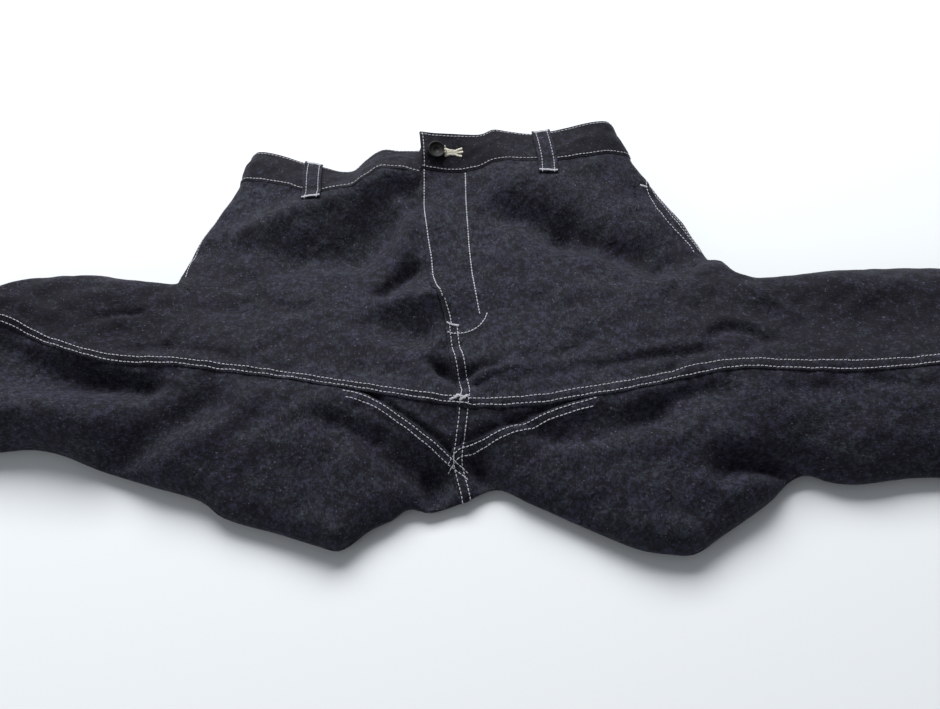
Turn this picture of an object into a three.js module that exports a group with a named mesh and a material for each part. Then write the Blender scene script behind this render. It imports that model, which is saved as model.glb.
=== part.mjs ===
// Work trousers in raw denim, laid out on a flat surface. The hips lie front up, and the legs are opened
// out to either side with their inseams on top. Sizes are millimetres, with the waist towards +Y, the
// wearer's left leg towards +X and the surface at Z = 0.
import * as THREE from "three";

// Driving sizes
const cloth = 1.4; // one layer of denim with its felled seams
const bandCloth = 2.4; // the waistband, folded double
const loopCloth = 1.2;
const facingCloth = 1.2;
const seamGap = 0.3;
const legReach = 705; // crotch seam to hem, along either leg
const originY = 100; // the frame's origin lies this far from the crotch seam, towards the waist
const hemTurn = 26;
const hemLift = 0.9; // how far the turned hem stands out from the leg
const backBandRise = 1.6; // the back waistband lies on its belt loops
const bandStep = 0.5; // the band stands out this far from the front panels
const bandHeight = 38;
const bandRound = 13;
const flyRaise = 1.5; // the left front panel stands this far over the right one at the fly
const flyFrom = 14; // the raise is whole from this far above the crotch seam
const flyFlat = { from: 18, to: 56 }; // and falls off between these distances from the fly edge
const seatRun = { from: 13.5, to: 27 }; // the seat comes down from the back band this far below its seam
const loopWidth = 17.5;
const buttonX = -26;
const buttonShare = 0.5; // the button's height on the band
const buttonSeat = 1; // how far its underside stands over the band
const bandBulge = 1.2;
const loopClearance = 1.2; // between a front loop and what it lies over
const loopArch = 1.6;
const backLoopDrop = 9; // the back loops reach this far below the waist seam

// Inseam, from the right leg's hem to the left leg's, as the wearer has them
const inseamRows = [
  { x: -705, y: 18 },
  { x: -560, y: 55 },
  { x: -470, y: 72 },
  { x: -387, y: 71 },
  { x: -339, y: 50 },
  { x: -295, y: 36.5 },
  { x: -212, y: 26 },
  { x: -150, y: 17 },
  { x: -114, y: 10.5 },
  { x: -51, y: 0 },
  { x: -4, y: -6 },
  { x: 30, y: -7.5 },
  { x: 60, y: -6.5 },
  { x: 90, y: -3 },
  { x: 123, y: 0.5 },
  { x: 155, y: 8.5 },
  { x: 188, y: 17 },
  { x: 221, y: 22 },
  { x: 260, y: 23 },
  { x: 317, y: 23 },
  { x: 383, y: 30 },
  { x: 560, y: 44 },
  { x: 705, y: 48 },
];

// Seam between gusset and back panel on either side, from the centre seam to the gusset's tip
const gussetRows = {
  right: [
    { x: -96, y: 7 },
    { x: -76, y: 1 },
    { x: -57, y: -10 },
    { x: -37, y: -23 },
    { x: -18, y: -35.5 },
    { x: -4.8, y: -45 },
  ],
  left: [
    { x: -4.8, y: -36 },
    { x: 16, y: -28 },
    { x: 29, y: -22.5 },
    { x: 48, y: -18 },
    { x: 67, y: -10.5 },
    { x: 87, y: -5 },
    { x: 104, y: -1.5 },
  ],
};

// Centre seam and fly edge, by distance from the crotch seam
const centreRows = [
  { y: -75, x: -3 },
  { y: -66, x: -5 },
  { y: -53, x: -8.5 },
  { y: -45, x: -10 },
  { y: -32, x: -8.6 },
  { y: -16, x: -6.3 },
  { y: 0, x: -4.8 },
  { y: 10, x: -4 },
  { y: 33, x: -7.6 },
  { y: 52, x: -11.8 },
  { y: 65, x: -13.5 },
  { y: 83, x: -15.5 },
  { y: 97, x: -20 },
  { y: 124, x: -28 },
  { y: 146, x: -30.5 },
  { y: 174, x: -34.4 },
  { y: 210, x: -38.4 },
  { y: 236, x: -39.1 },
  { y: 250, x: -39.5 },
  { y: 300, x: -40 },
];

// Fold along the crotch side of the seat and legs, with the fold's height and how far the top rounds over
const nearRows = [
  { x: -705, y: -70, edge: 5, round: 12 },
  { x: -560, y: -55, edge: 7, round: 18 },
  { x: -450, y: -38, edge: 9, round: 24 },
  { x: -372, y: -30, edge: 10, round: 26 },
  { x: -347, y: -28, edge: 10, round: 26 },
  { x: -323, y: -33, edge: 10, round: 26 },
  { x: -289, y: -47, edge: 10, round: 24 },
  { x: -246, y: -61, edge: 10, round: 24 },
  { x: -205, y: -74, edge: 10, round: 22 },
  { x: -186, y: -88, edge: 10, round: 22 },
  { x: -140, y: -102, edge: 10, round: 22 },
  { x: -112, y: -111, edge: 10, round: 20 },
  { x: -93, y: -115, edge: 10, round: 18 },
  { x: -71, y: -98, edge: 10, round: 20 },
  { x: -54, y: -89, edge: 9, round: 20 },
  { x: -43, y: -80, edge: 9, round: 18 },
  { x: -26, y: -83, edge: 8, round: 18 },
  { x: 0, y: -74, edge: 8, round: 16 },
  { x: 26, y: -63, edge: 8, round: 16 },
  { x: 51, y: -75, edge: 9, round: 20 },
  { x: 97, y: -98, edge: 10, round: 22 },
  { x: 133, y: -114, edge: 10, round: 22 },
  { x: 156, y: -118, edge: 10, round: 20 },
  { x: 175, y: -118, edge: 10, round: 18 },
  { x: 195, y: -105, edge: 10, round: 18 },
  { x: 238, y: -75, edge: 10, round: 20 },
  { x: 257, y: -57, edge: 10, round: 20 },
  { x: 272, y: -51, edge: 10, round: 22 },
  { x: 289, y: -57, edge: 10, round: 24 },
  { x: 311, y: -59, edge: 10, round: 24 },
  { x: 360, y: -53, edge: 10, round: 24 },
  { x: 430, y: -54, edge: 9, round: 24 },
  { x: 560, y: -50, edge: 7, round: 18 },
  { x: 705, y: -42, edge: 5, round: 12 },
];

// Far side of the right leg as worn, from the waist corner down the hip and out along the leg
const rightFarRows = [
  { x: -205, y: 291, edge: 8, round: 12 },
  { x: -215, y: 251, edge: 7, round: 13 },
  { x: -222, y: 233, edge: 7, round: 14 },
  { x: -241, y: 190, edge: 7, round: 14 },
  { x: -251, y: 152, edge: 7, round: 14 },
  { x: -255, y: 130, edge: 8, round: 16, corner: true },
  { x: -288, y: 133, edge: 9, round: 20 },
  { x: -311, y: 138, edge: 10, round: 22 },
  { x: -334, y: 139, edge: 10, round: 24 },
  { x: -376, y: 131, edge: 10, round: 24 },
  { x: -408, y: 117, edge: 9, round: 24 },
  { x: -560, y: 112, edge: 7, round: 18 },
  { x: -705, y: 105, edge: 5, round: 12 },
];

// Far side of the left leg as worn
const leftFarRows = [
  { x: 146, y: 318, edge: 9, round: 12 },
  { x: 159.5, y: 280, edge: 8, round: 13 },
  { x: 174, y: 256, edge: 7, round: 13 },
  { x: 200, y: 211, edge: 7, round: 14 },
  { x: 211, y: 186, edge: 7, round: 14 },
  { x: 220, y: 161, edge: 9, round: 16, corner: true },
  { x: 231, y: 156, edge: 11, round: 20 },
  { x: 243, y: 138, edge: 11, round: 20 },
  { x: 263, y: 137, edge: 10, round: 22 },
  { x: 299, y: 143, edge: 10, round: 24 },
  { x: 327, y: 148.5, edge: 10, round: 24 },
  { x: 426, y: 152, edge: 9, round: 24 },
  { x: 560, y: 150, edge: 7, round: 18 },
  { x: 705, y: 140, edge: 5, round: 12 },
];

// Front waist of the side that laps over: the seam that joins the band, and the band's top edge
const leftWaistRows = [
  { x: -40.5, seamY: 252, topX: -42, topY: 288, topZ: 49.5 },
  { x: -23, seamY: 252, topX: -26, topY: 287.5, topZ: 47.5 },
  { x: 5, seamY: 254.3, topX: 7, topY: 291.3, topZ: 43 },
  { x: 15.5, seamY: 256.7, topX: 17, topY: 294, topZ: 42 },
  { x: 29, seamY: 262.2, topX: 27, topY: 300.2, topZ: 41.5 },
  { x: 44, seamY: 260.3, topX: 41, topY: 298.2, topZ: 41 },
  { x: 65, seamY: 259.2, topX: 62, topY: 297, topZ: 39 },
  { x: 84, seamY: 259.5, topX: 80, topY: 297.5, topZ: 41.5 },
  { x: 103, seamY: 262.8, topX: 98, topY: 300.4, topZ: 44 },
  { x: 122, seamY: 267.9, topX: 116, topY: 304.5, topZ: 46 },
  { x: 141, seamY: 272.6, topX: 131, topY: 308, topZ: 45 },
  { x: 154, seamY: 275, topX: 142, topY: 313, topZ: 38 },
  { x: 159.5, seamY: 279, topX: 146.5, topY: 317, topZ: 32 },
];

// The same for the side that lies under it
const rightWaistRows = [
  { x: -213, seamY: 252.5, topX: -206.5, topY: 289, topZ: 22 },
  { x: -192, seamY: 247.4, topX: -191, topY: 285.4, topZ: 26.5 },
  { x: -172.5, seamY: 242.5, topX: -173, topY: 281, topZ: 25.5 },
  { x: -150.5, seamY: 233.8, topX: -152, topY: 272, topZ: 25.5 },
  { x: -131, seamY: 227.5, topX: -133, topY: 265, topZ: 27 },
  { x: -114.5, seamY: 227.9, topX: -117, topY: 263.3, topZ: 23 },
  { x: -102, seamY: 231, topX: -104.5, topY: 265.5, topZ: 22.5 },
  { x: -91.5, seamY: 238.5, topX: -95, topY: 274, topZ: 26 },
  { x: -82, seamY: 245.5, topX: -85.5, topY: 282, topZ: 28.5 },
  { x: -74, seamY: 248.3, topX: -76.5, topY: 284.8, topZ: 30.5 },
  { x: -60, seamY: 248.6, topX: -62, topY: 285, topZ: 28.5 },
  { x: -42, seamY: 248, topX: -43.5, topY: 285.3, topZ: 30 },
];

// Waist seam of the back, under the front
const backWaistRows = [
  { x: -214, y: 252.5 },
  { x: -170, y: 246 },
  { x: -105, y: 239 },
  { x: -31, y: 246 },
  { x: 60, y: 261 },
  { x: 160, y: 279 },
];

// Pocket edges, by how far they stand in from the side seam
const pocketRows = {
  left: [
    { y: 250, inset: 5 },
    { y: 241, inset: 11 },
    { y: 231, inset: 14.5 },
    { y: 213, inset: 19 },
    { y: 197, inset: 17.5 },
    { y: 180, inset: 12 },
    { y: 164, inset: 11 },
  ],
  right: [
    { y: 232, inset: 1.5 },
    { y: 194, inset: 2 },
    { y: 170, inset: 3.5 },
    { y: 150, inset: 5.5 },
    { y: 133, inset: 8 },
  ],
};

// Front belt loops, from the tack below the band to the band's top edge
const loopRows = {
  left: { fromX: 77, fromY: 242, toX: 70 },
  right: { fromX: -140.5, fromY: 216, toX: -141 },
};
const backLoops = { belt_loop_back_right: -150, belt_loop_back_centre: -31, belt_loop_back_left: 92 };

// Button, turned about its middle: distance out from the middle and height over the band
const buttonRows = [
  { out: 0, up: 0 },
  { out: 7.4, up: 0 },
  { out: 8.5, up: 0.9 },
  { out: 8.5, up: 2.6 },
  { out: 7.8, up: 3.4 },
  { out: 6.8, up: 3.2 },
  { out: 6, up: 2.2 },
  { out: 2.6, up: 2.2 },
  { out: 1.8, up: 1.5 },
  { out: 0, up: 1.5 },
];

// Height of the upper side before its folds, in sections across the legs. The columns lie at these Y.
const columnY = { near: -90, back: -40, seam: 10, thigh: 60, groin: 110, hip: 160, yoke: 210, waist: 262 };
const heightRows = [
  { x: -705, near: 13, back: 15, seam: 16, thigh: 15, groin: 14, hip: 14, yoke: 14, waist: 14 },
  { x: -560, near: 18, back: 25, seam: 30, thigh: 31, groin: 24, hip: 20, yoke: 20, waist: 20 },
  { x: -420, near: 26, back: 36, seam: 42, thigh: 50, groin: 42, hip: 30, yoke: 20, waist: 20 },
  { x: -350, near: 28, back: 40, seam: 44, thigh: 52, groin: 44, hip: 30, yoke: 20, waist: 20 },
  { x: -290, near: 30, back: 38, seam: 44, thigh: 48, groin: 40, hip: 24, yoke: 18, waist: 18 },
  { x: -240, near: 30, back: 38, seam: 44, thigh: 44, groin: 34, hip: 20, yoke: 17, waist: 17 },
  { x: -190, near: 32, back: 38, seam: 44, thigh: 42, groin: 33, hip: 26, yoke: 24, waist: 27 },
  { x: -140, near: 34, back: 41, seam: 45, thigh: 42, groin: 34, hip: 29, yoke: 27, waist: 27 },
  { x: -95, near: 34, back: 42, seam: 46, thigh: 42, groin: 35, hip: 30, yoke: 32, waist: 36 },
  { x: -50, near: 24, back: 35, seam: 44, thigh: 38, groin: 36, hip: 34, yoke: 35, waist: 37 },
  { x: 0, near: 14, back: 28, seam: 42, thigh: 34, groin: 36, hip: 35, yoke: 33, waist: 31 },
  { x: 45, near: 24, back: 35, seam: 45, thigh: 43, groin: 41, hip: 37, yoke: 35, waist: 40 },
  { x: 95, near: 34, back: 41, seam: 48, thigh: 46, groin: 43, hip: 37, yoke: 37, waist: 40 },
  { x: 140, near: 36, back: 44, seam: 50, thigh: 48, groin: 43, hip: 33, yoke: 32, waist: 36 },
  { x: 190, near: 36, back: 46, seam: 50, thigh: 48, groin: 42, hip: 26, yoke: 21, waist: 22 },
  { x: 240, near: 34, back: 44, seam: 48, thigh: 46, groin: 42, hip: 26, yoke: 20, waist: 20 },
  { x: 290, near: 28, back: 39, seam: 46, thigh: 45, groin: 39, hip: 26, yoke: 20, waist: 20 },
  { x: 420, near: 26, back: 37, seam: 43, thigh: 42, groin: 37, hip: 26, yoke: 20, waist: 20 },
  { x: 560, near: 18, back: 25, seam: 29, thigh: 28, groin: 24, hip: 20, yoke: 18, waist: 18 },
  { x: 705, near: 13, back: 15, seam: 16, thigh: 16, groin: 15, hip: 14, yoke: 14, waist: 14 },
];

// Largest folds: a crest or, below nothing, a trough along a line, with its spread to the line's left
// and right
const foldRows = [
  { name: "right hip crest", fromX: -62, fromY: 262, toX: -180, toY: 192, lift: 6, left: 24, right: 22 },
  { name: "right hip trough", fromX: -50, fromY: 212, toX: -92, toY: 160, lift: -11, left: 16, right: 26 },
  { name: "right hip's low end", fromX: -96, fromY: 158, toX: -150, toY: 150, lift: -8, left: 22, right: 22 },
  { name: "crest beside the fly", fromX: -58, fromY: 214, toX: -46, toY: 148, lift: 6, left: 12, right: 10 },
  { name: "pit beside the fly", fromX: -48, fromY: 134, toX: -66, toY: 112, lift: -8, left: 13, right: 13 },
  { name: "arch over the hollow", fromX: -66, fromY: 94, toX: -26, toY: 100, lift: 6, left: 10, right: 10 },
  { name: "arch down the fly", fromX: -25, fromY: 99, toX: -20, toY: 60, lift: 6, left: 9, right: 9 },
  { name: "hollow under the arch", fromX: -70, fromY: 76, toX: -38, toY: 70, lift: -6, left: 15, right: 15 },
  { name: "left hip crest", fromX: 34, fromY: 234, toX: 158, toY: 196, lift: 5, left: 22, right: 22 },
  { name: "left hip trough", fromX: 42, fromY: 203, toX: 84, toY: 178, lift: -10, left: 20, right: 20 },
  { name: "left hip's low end", fromX: 88, fromY: 176, toX: 188, toY: 137, lift: -9, left: 17, right: 17 },
  { name: "hollow over the crotch", fromX: -16, fromY: 34, toX: 10, toY: 30, lift: -15, left: 15, right: 13 },
  { name: "right gusset trough", fromX: -100, fromY: -23, toX: -26, toY: -60, lift: -9, left: 12, right: 14 },
  { name: "left gusset trough", fromX: 64, fromY: -30, toX: 150, toY: -16, lift: -8, left: 12, right: 13 },
  { name: "left seam trough", fromX: 152, fromY: -12, toX: 206, toY: 2, lift: -6, left: 12, right: 12 },
  { name: "seat trough, right", fromX: -20, fromY: -58, toX: -23, toY: -86, lift: -7, left: 12, right: 14 },
  { name: "seat trough, left", fromX: 15, fromY: -50, toX: 27, toY: -66, lift: -7, left: 12, right: 12 },
  { name: "right leg trough", fromX: -396, fromY: 58, toX: -256, toY: 16, lift: -12, left: 13, right: 28 },
  { name: "right thigh trough", fromX: -282, fromY: -50, toX: -206, toY: -4, lift: -9, left: 17, right: 17 },
  { name: "right thigh crest", fromX: -244, fromY: -64, toX: -178, toY: 0, lift: 5, left: 17, right: 17 },
  { name: "left thigh tuck", fromX: 198, fromY: -54, toX: 262, toY: -50, lift: -10, left: 11, right: 12 },
  { name: "left groin crest", fromX: 150, fromY: 106, toX: 222, toY: 142, lift: 6, left: 13, right: 16 },
];

const mix = (a, b, t) => a + (b - a) * t;

const hermite = (a, b, slopeA, slopeB, span, t) =>
  a * (2 * t ** 3 - 3 * t ** 2 + 1) +
  b * (3 * t ** 2 - 2 * t ** 3) +
  span * (slopeA * (t ** 3 - 2 * t ** 2 + t) + slopeB * (t ** 3 - t ** 2));

// A smooth curve through values at rising positions. It is level beyond its ends.
function curveThrough(at, values) {
  const last = at.length - 1;
  const slope = (i) => {
    const lo = Math.max(i - 1, 0);
    const hi = Math.min(i + 1, last);
    return (values[hi] - values[lo]) / (at[hi] - at[lo]);
  };
  return (x) => {
    if (x <= at[0]) return values[0];
    if (x >= at[last]) return values[last];
    let i = 0;
    while (at[i + 1] < x) i++;
    const span = at[i + 1] - at[i];
    return hermite(values[i], values[i + 1], slope(i), slope(i + 1), span, (x - at[i]) / span);
  };
}

const column = (rows, key, by = "x") =>
  curveThrough(
    rows.map((row) => row[by]),
    rows.map((row) => row[key]),
  );

const inseamY = column(inseamRows, "y");
const gussetY = { "-1": column(gussetRows.right, "y"), 1: column(gussetRows.left, "y") };
const centreX = column(centreRows, "x", "y");
const nearY = column(nearRows, "y");
const backSeamY = column(backWaistRows, "y");
const middleX = centreX(0);
const waistHeight = 252;
const waistMiddle = centreX(waistHeight);

const heightCurves = Object.keys(columnY).map((key) => column(heightRows, key));
const heightAt = (x, y) =>
  curveThrough(
    Object.values(columnY),
    heightCurves.map((curve) => curve(x)),
  )(y);

// How much the folds raise or lower the cloth at a point
function foldLift(x, y) {
  return foldRows.reduce((sum, fold) => {
    const dx = fold.toX - fold.fromX;
    const dy = fold.toY - fold.fromY;
    const length = Math.hypot(dx, dy);
    const along = ((x - fold.fromX) * dx + (y - fold.fromY) * dy) / length;
    const across = ((x - fold.fromX) * dy - (y - fold.fromY) * dx) / length;
    const past = Math.max(-along, along - length, 0);
    const spread = across > 0 ? fold.right : fold.left;
    const end = (fold.left + fold.right) / 2;
    return sum + fold.lift * Math.exp(-((across / spread) ** 2) - (past / end) ** 2);
  }, 0);
}

// Points along a row table, smooth but for its corners, each with the fold's height and rounding there
function outlineOf(rows, step = 6) {
  const points = [];
  const breaks = rows.flatMap((row, i) => (row.corner || i === 0 || i === rows.length - 1 ? [i] : []));
  for (let b = 0; b + 1 < breaks.length; b++) {
    const part = rows.slice(breaks[b], breaks[b + 1] + 1);
    const reach = [0];
    for (let i = 1; i < part.length; i++)
      reach.push(reach[i - 1] + Math.hypot(part[i].x - part[i - 1].x, part[i].y - part[i - 1].y));
    const [x, y, edge, round] = ["x", "y", "edge", "round"].map((key) =>
      curveThrough(
        reach,
        part.map((row) => row[key]),
      ),
    );
    const total = reach[reach.length - 1];
    const count = Math.ceil(total / step);
    for (let i = b ? 1 : 0; i <= count; i++) {
      const s = (total * i) / count;
      points.push({ x: x(s), y: y(s), edge: edge(s), round: round(s), corner: i === count });
    }
  }
  return points;
}

const nearOutline = [];
for (let x = -legReach; x <= legReach; x += 5)
  nearOutline.push({
    x,
    y: nearY(x),
    edge: column(nearRows, "edge")(x),
    round: column(nearRows, "round")(x),
  });
const farOutline = { "-1": outlineOf(rightFarRows), 1: outlineOf(leftFarRows) };

const outlineTouch = 0.05; // a point this close to the outline lies on it

// Nearest place on the folded outline: how far in the point lies, the way out, and the fold's sizes there
function edgeAt(x, y) {
  const best = { inside: Infinity };
  const tryOutline = (outline, turn) => {
    for (let i = 0; i + 1 < outline.length; i++) {
      const a = outline[i];
      const b = outline[i + 1];
      const dx = b.x - a.x;
      const dy = b.y - a.y;
      const length = Math.hypot(dx, dy);
      const t = Math.min(1, Math.max(0, ((x - a.x) * dx + (y - a.y) * dy) / length ** 2));
      const outX = a.x + dx * t - x;
      const outY = a.y + dy * t - y;
      const inside = Math.hypot(outX, outY);
      if (inside >= best.inside) continue;
      const near = inside < outlineTouch;
      best.inside = inside;
      best.outX = near ? (turn * dy) / length : outX / inside;
      best.outY = near ? (-turn * dx) / length : outY / inside;
      best.edge = a.edge + (b.edge - a.edge) * t;
      best.round = a.round + (b.round - a.round) * t;
    }
  };
  tryOutline(nearOutline, 1);
  tryOutline(farOutline["-1"], 1);
  tryOutline(farOutline[1], -1);
  return best;
}

const quarter = (share) => Math.sqrt(1 - (1 - Math.min(share, 1)) ** 2);
const hemStep = (x) => THREE.MathUtils.smoothstep(Math.abs(x), legReach - hemTurn - 2, legReach - hemTurn);

// How far the left front panel stands over the right one beside the fly
const flyLift = (x, y) =>
  flyRaise *
  THREE.MathUtils.smoothstep(y, 0, flyFrom) *
  (1 - THREE.MathUtils.smoothstep(x - centreX(y), flyFlat.from, flyFlat.to));

// A point on the upper side of the laid-out garment, with the way its face looks
function topPoint(x, y, raise = 0) {
  const height = (px, py) => heightAt(px, py) + foldLift(px, py);
  const e = edgeAt(x, y);
  const share = e.inside / e.round;
  const bulge = quarter(share);
  const flat = 1 - Math.min(share, 1);
  const slopeX = (height(x + 1, y) - height(x - 1, y)) / 2;
  const slopeY = (height(x, y + 1) - height(x, y - 1)) / 2;
  const face = new THREE.Vector3(
    e.outX * flat - bulge * slopeX,
    e.outY * flat - bulge * slopeY,
    bulge,
  ).normalize();
  const place = new THREE.Vector3(x, y, e.edge + (height(x, y) - e.edge) * bulge);
  return { place: place.addScaledVector(face, raise + hemLift * hemStep(x) * bulge), face };
}

// A point on the underside, flat on the surface but for the roll up to the folded edge. Towards the back
// waist it rises onto the belt loops.
function underPoint(x, y) {
  const e = edgeAt(x, y);
  const share = e.inside / e.edge;
  const bulge = quarter(share);
  const onSeat = x > backWaistRows[0].x && x < backWaistRows[backWaistRows.length - 1].x;
  const rise = onSeat
    ? backBandRise * (1 - THREE.MathUtils.smoothstep(backSeamY(x) - y, seatRun.from, seatRun.to))
    : 0;
  const face = new THREE.Vector3(e.outX, e.outY, 0).multiplyScalar(1 - Math.min(share, 1));
  face.z = -bulge;
  return { place: new THREE.Vector3(x, y, mix(e.edge, rise, bulge)), face: face.normalize() };
}

// A closed wall whose outer side runs through rows of points, and whose inner side lies a thickness behind
function wall(rows, thickness) {
  const across = rows[0].length;
  const count = rows.length * across;
  const places = [];
  for (const depth of [0, thickness])
    for (const row of rows)
      for (const { place, face } of row) places.push(place.clone().addScaledVector(face, -depth));
  const faces = [];
  const quad = (a, b, c, d) => faces.push([a, b, c], [a, c, d]);
  for (let i = 0; i + 1 < rows.length; i++)
    for (let j = 0; j + 1 < across; j++) {
      const a = i * across + j;
      quad(a, a + across, a + across + 1, a + 1);
      quad(count + a, count + a + 1, count + a + across + 1, count + a + across);
    }
  const rim = (a, b) => quad(a, b, count + b, count + a);
  for (let i = 0; i + 1 < rows.length; i++) {
    rim((i + 1) * across, i * across);
    rim(i * across + across - 1, (i + 1) * across + across - 1);
  }
  for (let j = 0; j + 1 < across; j++) {
    rim(j, j + 1);
    rim((rows.length - 1) * across + j + 1, (rows.length - 1) * across + j);
  }
  return solidFrom(places, faces);
}

// A geometry from points and triangles, turned so that its faces look out
function solidFrom(places, faces) {
  const volume = faces.reduce(
    (sum, [a, b, c]) => sum + places[a].dot(new THREE.Vector3().crossVectors(places[b], places[c])),
    0,
  );
  const turned = volume < 0 ? faces.map(([a, b, c]) => [a, c, b]) : faces;
  const geometry = new THREE.BufferGeometry();
  geometry.setAttribute(
    "position",
    new THREE.Float32BufferAttribute(
      places.flatMap((p) => p.toArray()),
      3,
    ),
  );
  geometry.setIndex(turned.flat());
  geometry.computeVertexNormals();
  return geometry;
}

const spread = (count) => Array.from({ length: count + 1 }, (_, i) => i / count);
const farRows = { "-1": rightFarRows, 1: leftFarRows };
const waistRows = { "-1": rightWaistRows, 1: leftWaistRows };
const sideNames = { "-1": "right", 1: "left" };
const groinOf = (side) => farRows[side].find((row) => row.corner);
const cornerOf = (side) => waistRows[side].at(side > 0 ? -1 : 0);
const gussetTip = (side) => gussetRows[sideNames[side]].at(side > 0 ? -1 : 0).x;

const hipOutline = (side) => {
  const outline = farOutline[side];
  return outline.slice(0, outline.findIndex((p) => p.corner) + 1).reverse();
};
const hipX = {
  "-1": column(hipOutline(-1), "x", "y"),
  1: column(hipOutline(1), "x", "y"),
};
const legOutline = (side) => {
  const outline = farOutline[side];
  const leg = outline.slice(outline.findIndex((p) => p.corner));
  return side < 0 ? leg.reverse() : leg;
};
const farY = {
  "-1": column(legOutline(-1), "y"),
  1: column(legOutline(1), "y"),
};
const pocketInset = {
  "-1": column([...pocketRows.right].reverse(), "inset", "y"),
  1: column([...pocketRows.left].reverse(), "inset", "y"),
};
const pocketEdge = (side, y) => ({ x: hipX[side](y) - side * pocketInset[side](y), y });

// Numbers of strips in the panels' grids
const waistStrips = 8;
const pocketStrips = 5;
const thighStrips = 10;
const shinStrips = 5;
const thighEnd = 420;
const riseStrips = 12;
const seatStrips = 6;
const bandStrips = 4;
const rollSteps = [24, 13, 6, 1.7, 0]; // distances in from a panel's end, over its rolled edge
const waistTurn = [13, 6, 2, 0];
const legSteps = [26, 13, 0]; // distances in from the back panel's end, under the leg
const seatSteps = [27, 13, 0]; // and under the waist
const sideEnd = 2.4;
const facingSteps = [6, 3, 0]; // distances in from the pocket edge, behind the panel
const facingShares = [0.5, 1]; // shares of the way out from the pocket edge to the side seam
const mostRoll = 0.7; // share of the way from seam to fold that the fold's roll may take
const bowEnd = 222; // the panel lines run straight to the waist from here
const bowFade = 30;
const bowSpan = 1.6; // the fly edge's curve dies out over the hip's width divided by this
const seatBowReach = 60;
const startReach = 50; // the lines' starts part from the centre seam over this distance
const cornerLean = 0.52; // the lines near the waist corner lean in towards the hip by this much
const groinLean = { x: 0.6, y: 0.8 };
const lineSpare = 4; // least spacing of the lines' starts, before it is scaled to the inseam
const outseamAtGroin = 9;
const outseamRun = 90; // the outseam reaches its place under the leg this far from the groin
const gussetBlunt = { clear: 6, end: 4 }; // the gusset's tip is cut off this far from its point
const facingEnds = { upper: -0.5, lower: 4 }; // the facing stands clear of the pocket's two ends
const bandLap = { from: -58, to: -43 }; // the right band sinks under the left one between these
const bandTurn = [0.8, 2.5, 5]; // distances in from the hip's side, over the back band's rolled edge
const bandSlant = 120; // the back band's slant at its corner dies out over this distance

// How far along each leg the panel lines stand, from the groin corner to the hem
function legStations(side) {
  const groin = Math.abs(groinOf(side).x);
  const thigh = spread(thighStrips).slice(1);
  const shin = spread(shinStrips).slice(1, -1);
  const hem = [legReach - hemTurn - 2, legReach - hemTurn, legReach];
  return [
    ...thigh.map((t) => side * mix(groin, thighEnd, t)),
    ...shin.map((t) => side * mix(thighEnd, legReach, t)),
    ...hem.map((x) => side * x),
  ];
}

// Where the outseam runs under the leg, as a distance in from the far fold
const outseamDepth = (side, x) => {
  const halfLeg = (farY[side](x) - nearY(x)) / 2;
  const past = Math.abs(x - groinOf(side).x);
  return mix(outseamAtGroin, halfLeg, THREE.MathUtils.smoothstep(past, 0, outseamRun));
};

// Shares of the way from the middle to the hip's side at which panel lines meet the waist
function waistShares(side) {
  const corner = cornerOf(side);
  const reach = Math.abs(corner.x - waistMiddle);
  return [
    ...spread(waistStrips)
      .slice(0, -1)
      .map((t) => t * (1 - waistTurn[0] / reach)),
    ...waistTurn.map((d) => 1 - d / reach),
  ];
}

const leaning = (x, y) => {
  const length = Math.hypot(x, y);
  return { x: x / length, y: y / length };
};

// The lines that run from the inseam to the waist, then to the hip's side: where each one ends on the front
// and on the back, the way in from there, and its share of the inseam
function hipLines(side) {
  const corner = cornerOf(side);
  const groin = groinOf(side);
  const seamAt = column(waistRows[side], "seamY");
  const waist = waistShares(side).map((t, i, all) => {
    const x = mix(waistMiddle, corner.x, t);
    const turn = Math.max(0, i - waistStrips + 1) / (all.length - waistStrips);
    const inward = leaning(-side * cornerLean * turn, -1);
    const backX = mix(backLoops.belt_loop_back_centre, corner.x, t);
    const front = { x, y: seamAt(x) - seamGap / 2 };
    const back = { x: backX, y: backSeamY(backX) - seamGap / 2 };
    if (t === 1) front.x = back.x = hipX[side](front.y);
    return { front, back, inward };
  });
  const rows = pocketRows[sideNames[side]];
  const above = { y: (corner.seamY + rows[0].y) / 2, pocket: false };
  const mouth = spread(pocketStrips).map((t) => ({
    y: mix(rows[0].y, rows[rows.length - 1].y, t),
    pocket: true,
  }));
  const sideLines = [above, ...mouth].map(({ y, pocket }) => {
    const back = { x: hipX[side](y), y };
    const { outX, outY } = edgeAt(back.x - side * 0.5, y);
    const front = pocket ? pocketEdge(side, y) : back;
    return { front, back, inward: { x: -outX, y: -outY }, y, onSide: true, pocket };
  });
  const last = { x: groin.x, y: groin.y };
  const end = { front: last, back: last, inward: leaning(-side * groinLean.x, -groinLean.y), onSide: true };
  const lines = [...waist, ...sideLines, end];
  const reach = [0];
  for (let i = 1; i < lines.length; i++) {
    const { front } = lines[i];
    const before = lines[i - 1].front;
    reach.push(reach[i - 1] + Math.hypot(front.x - before.x, front.y - before.y) + lineSpare);
  }
  const shares = reach.map((r) => r / reach[reach.length - 1]);
  const tip = (gussetTip(side) - middleX) / (groin.x - middleX);
  const offTip = shares.map((s) => Math.abs(s - tip));
  const nearest = offTip.indexOf(Math.min(...offTip));
  shares[nearest] = tip;
  return lines.map((line, i) => ({ ...line, share: shares[i] }));
}

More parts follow.
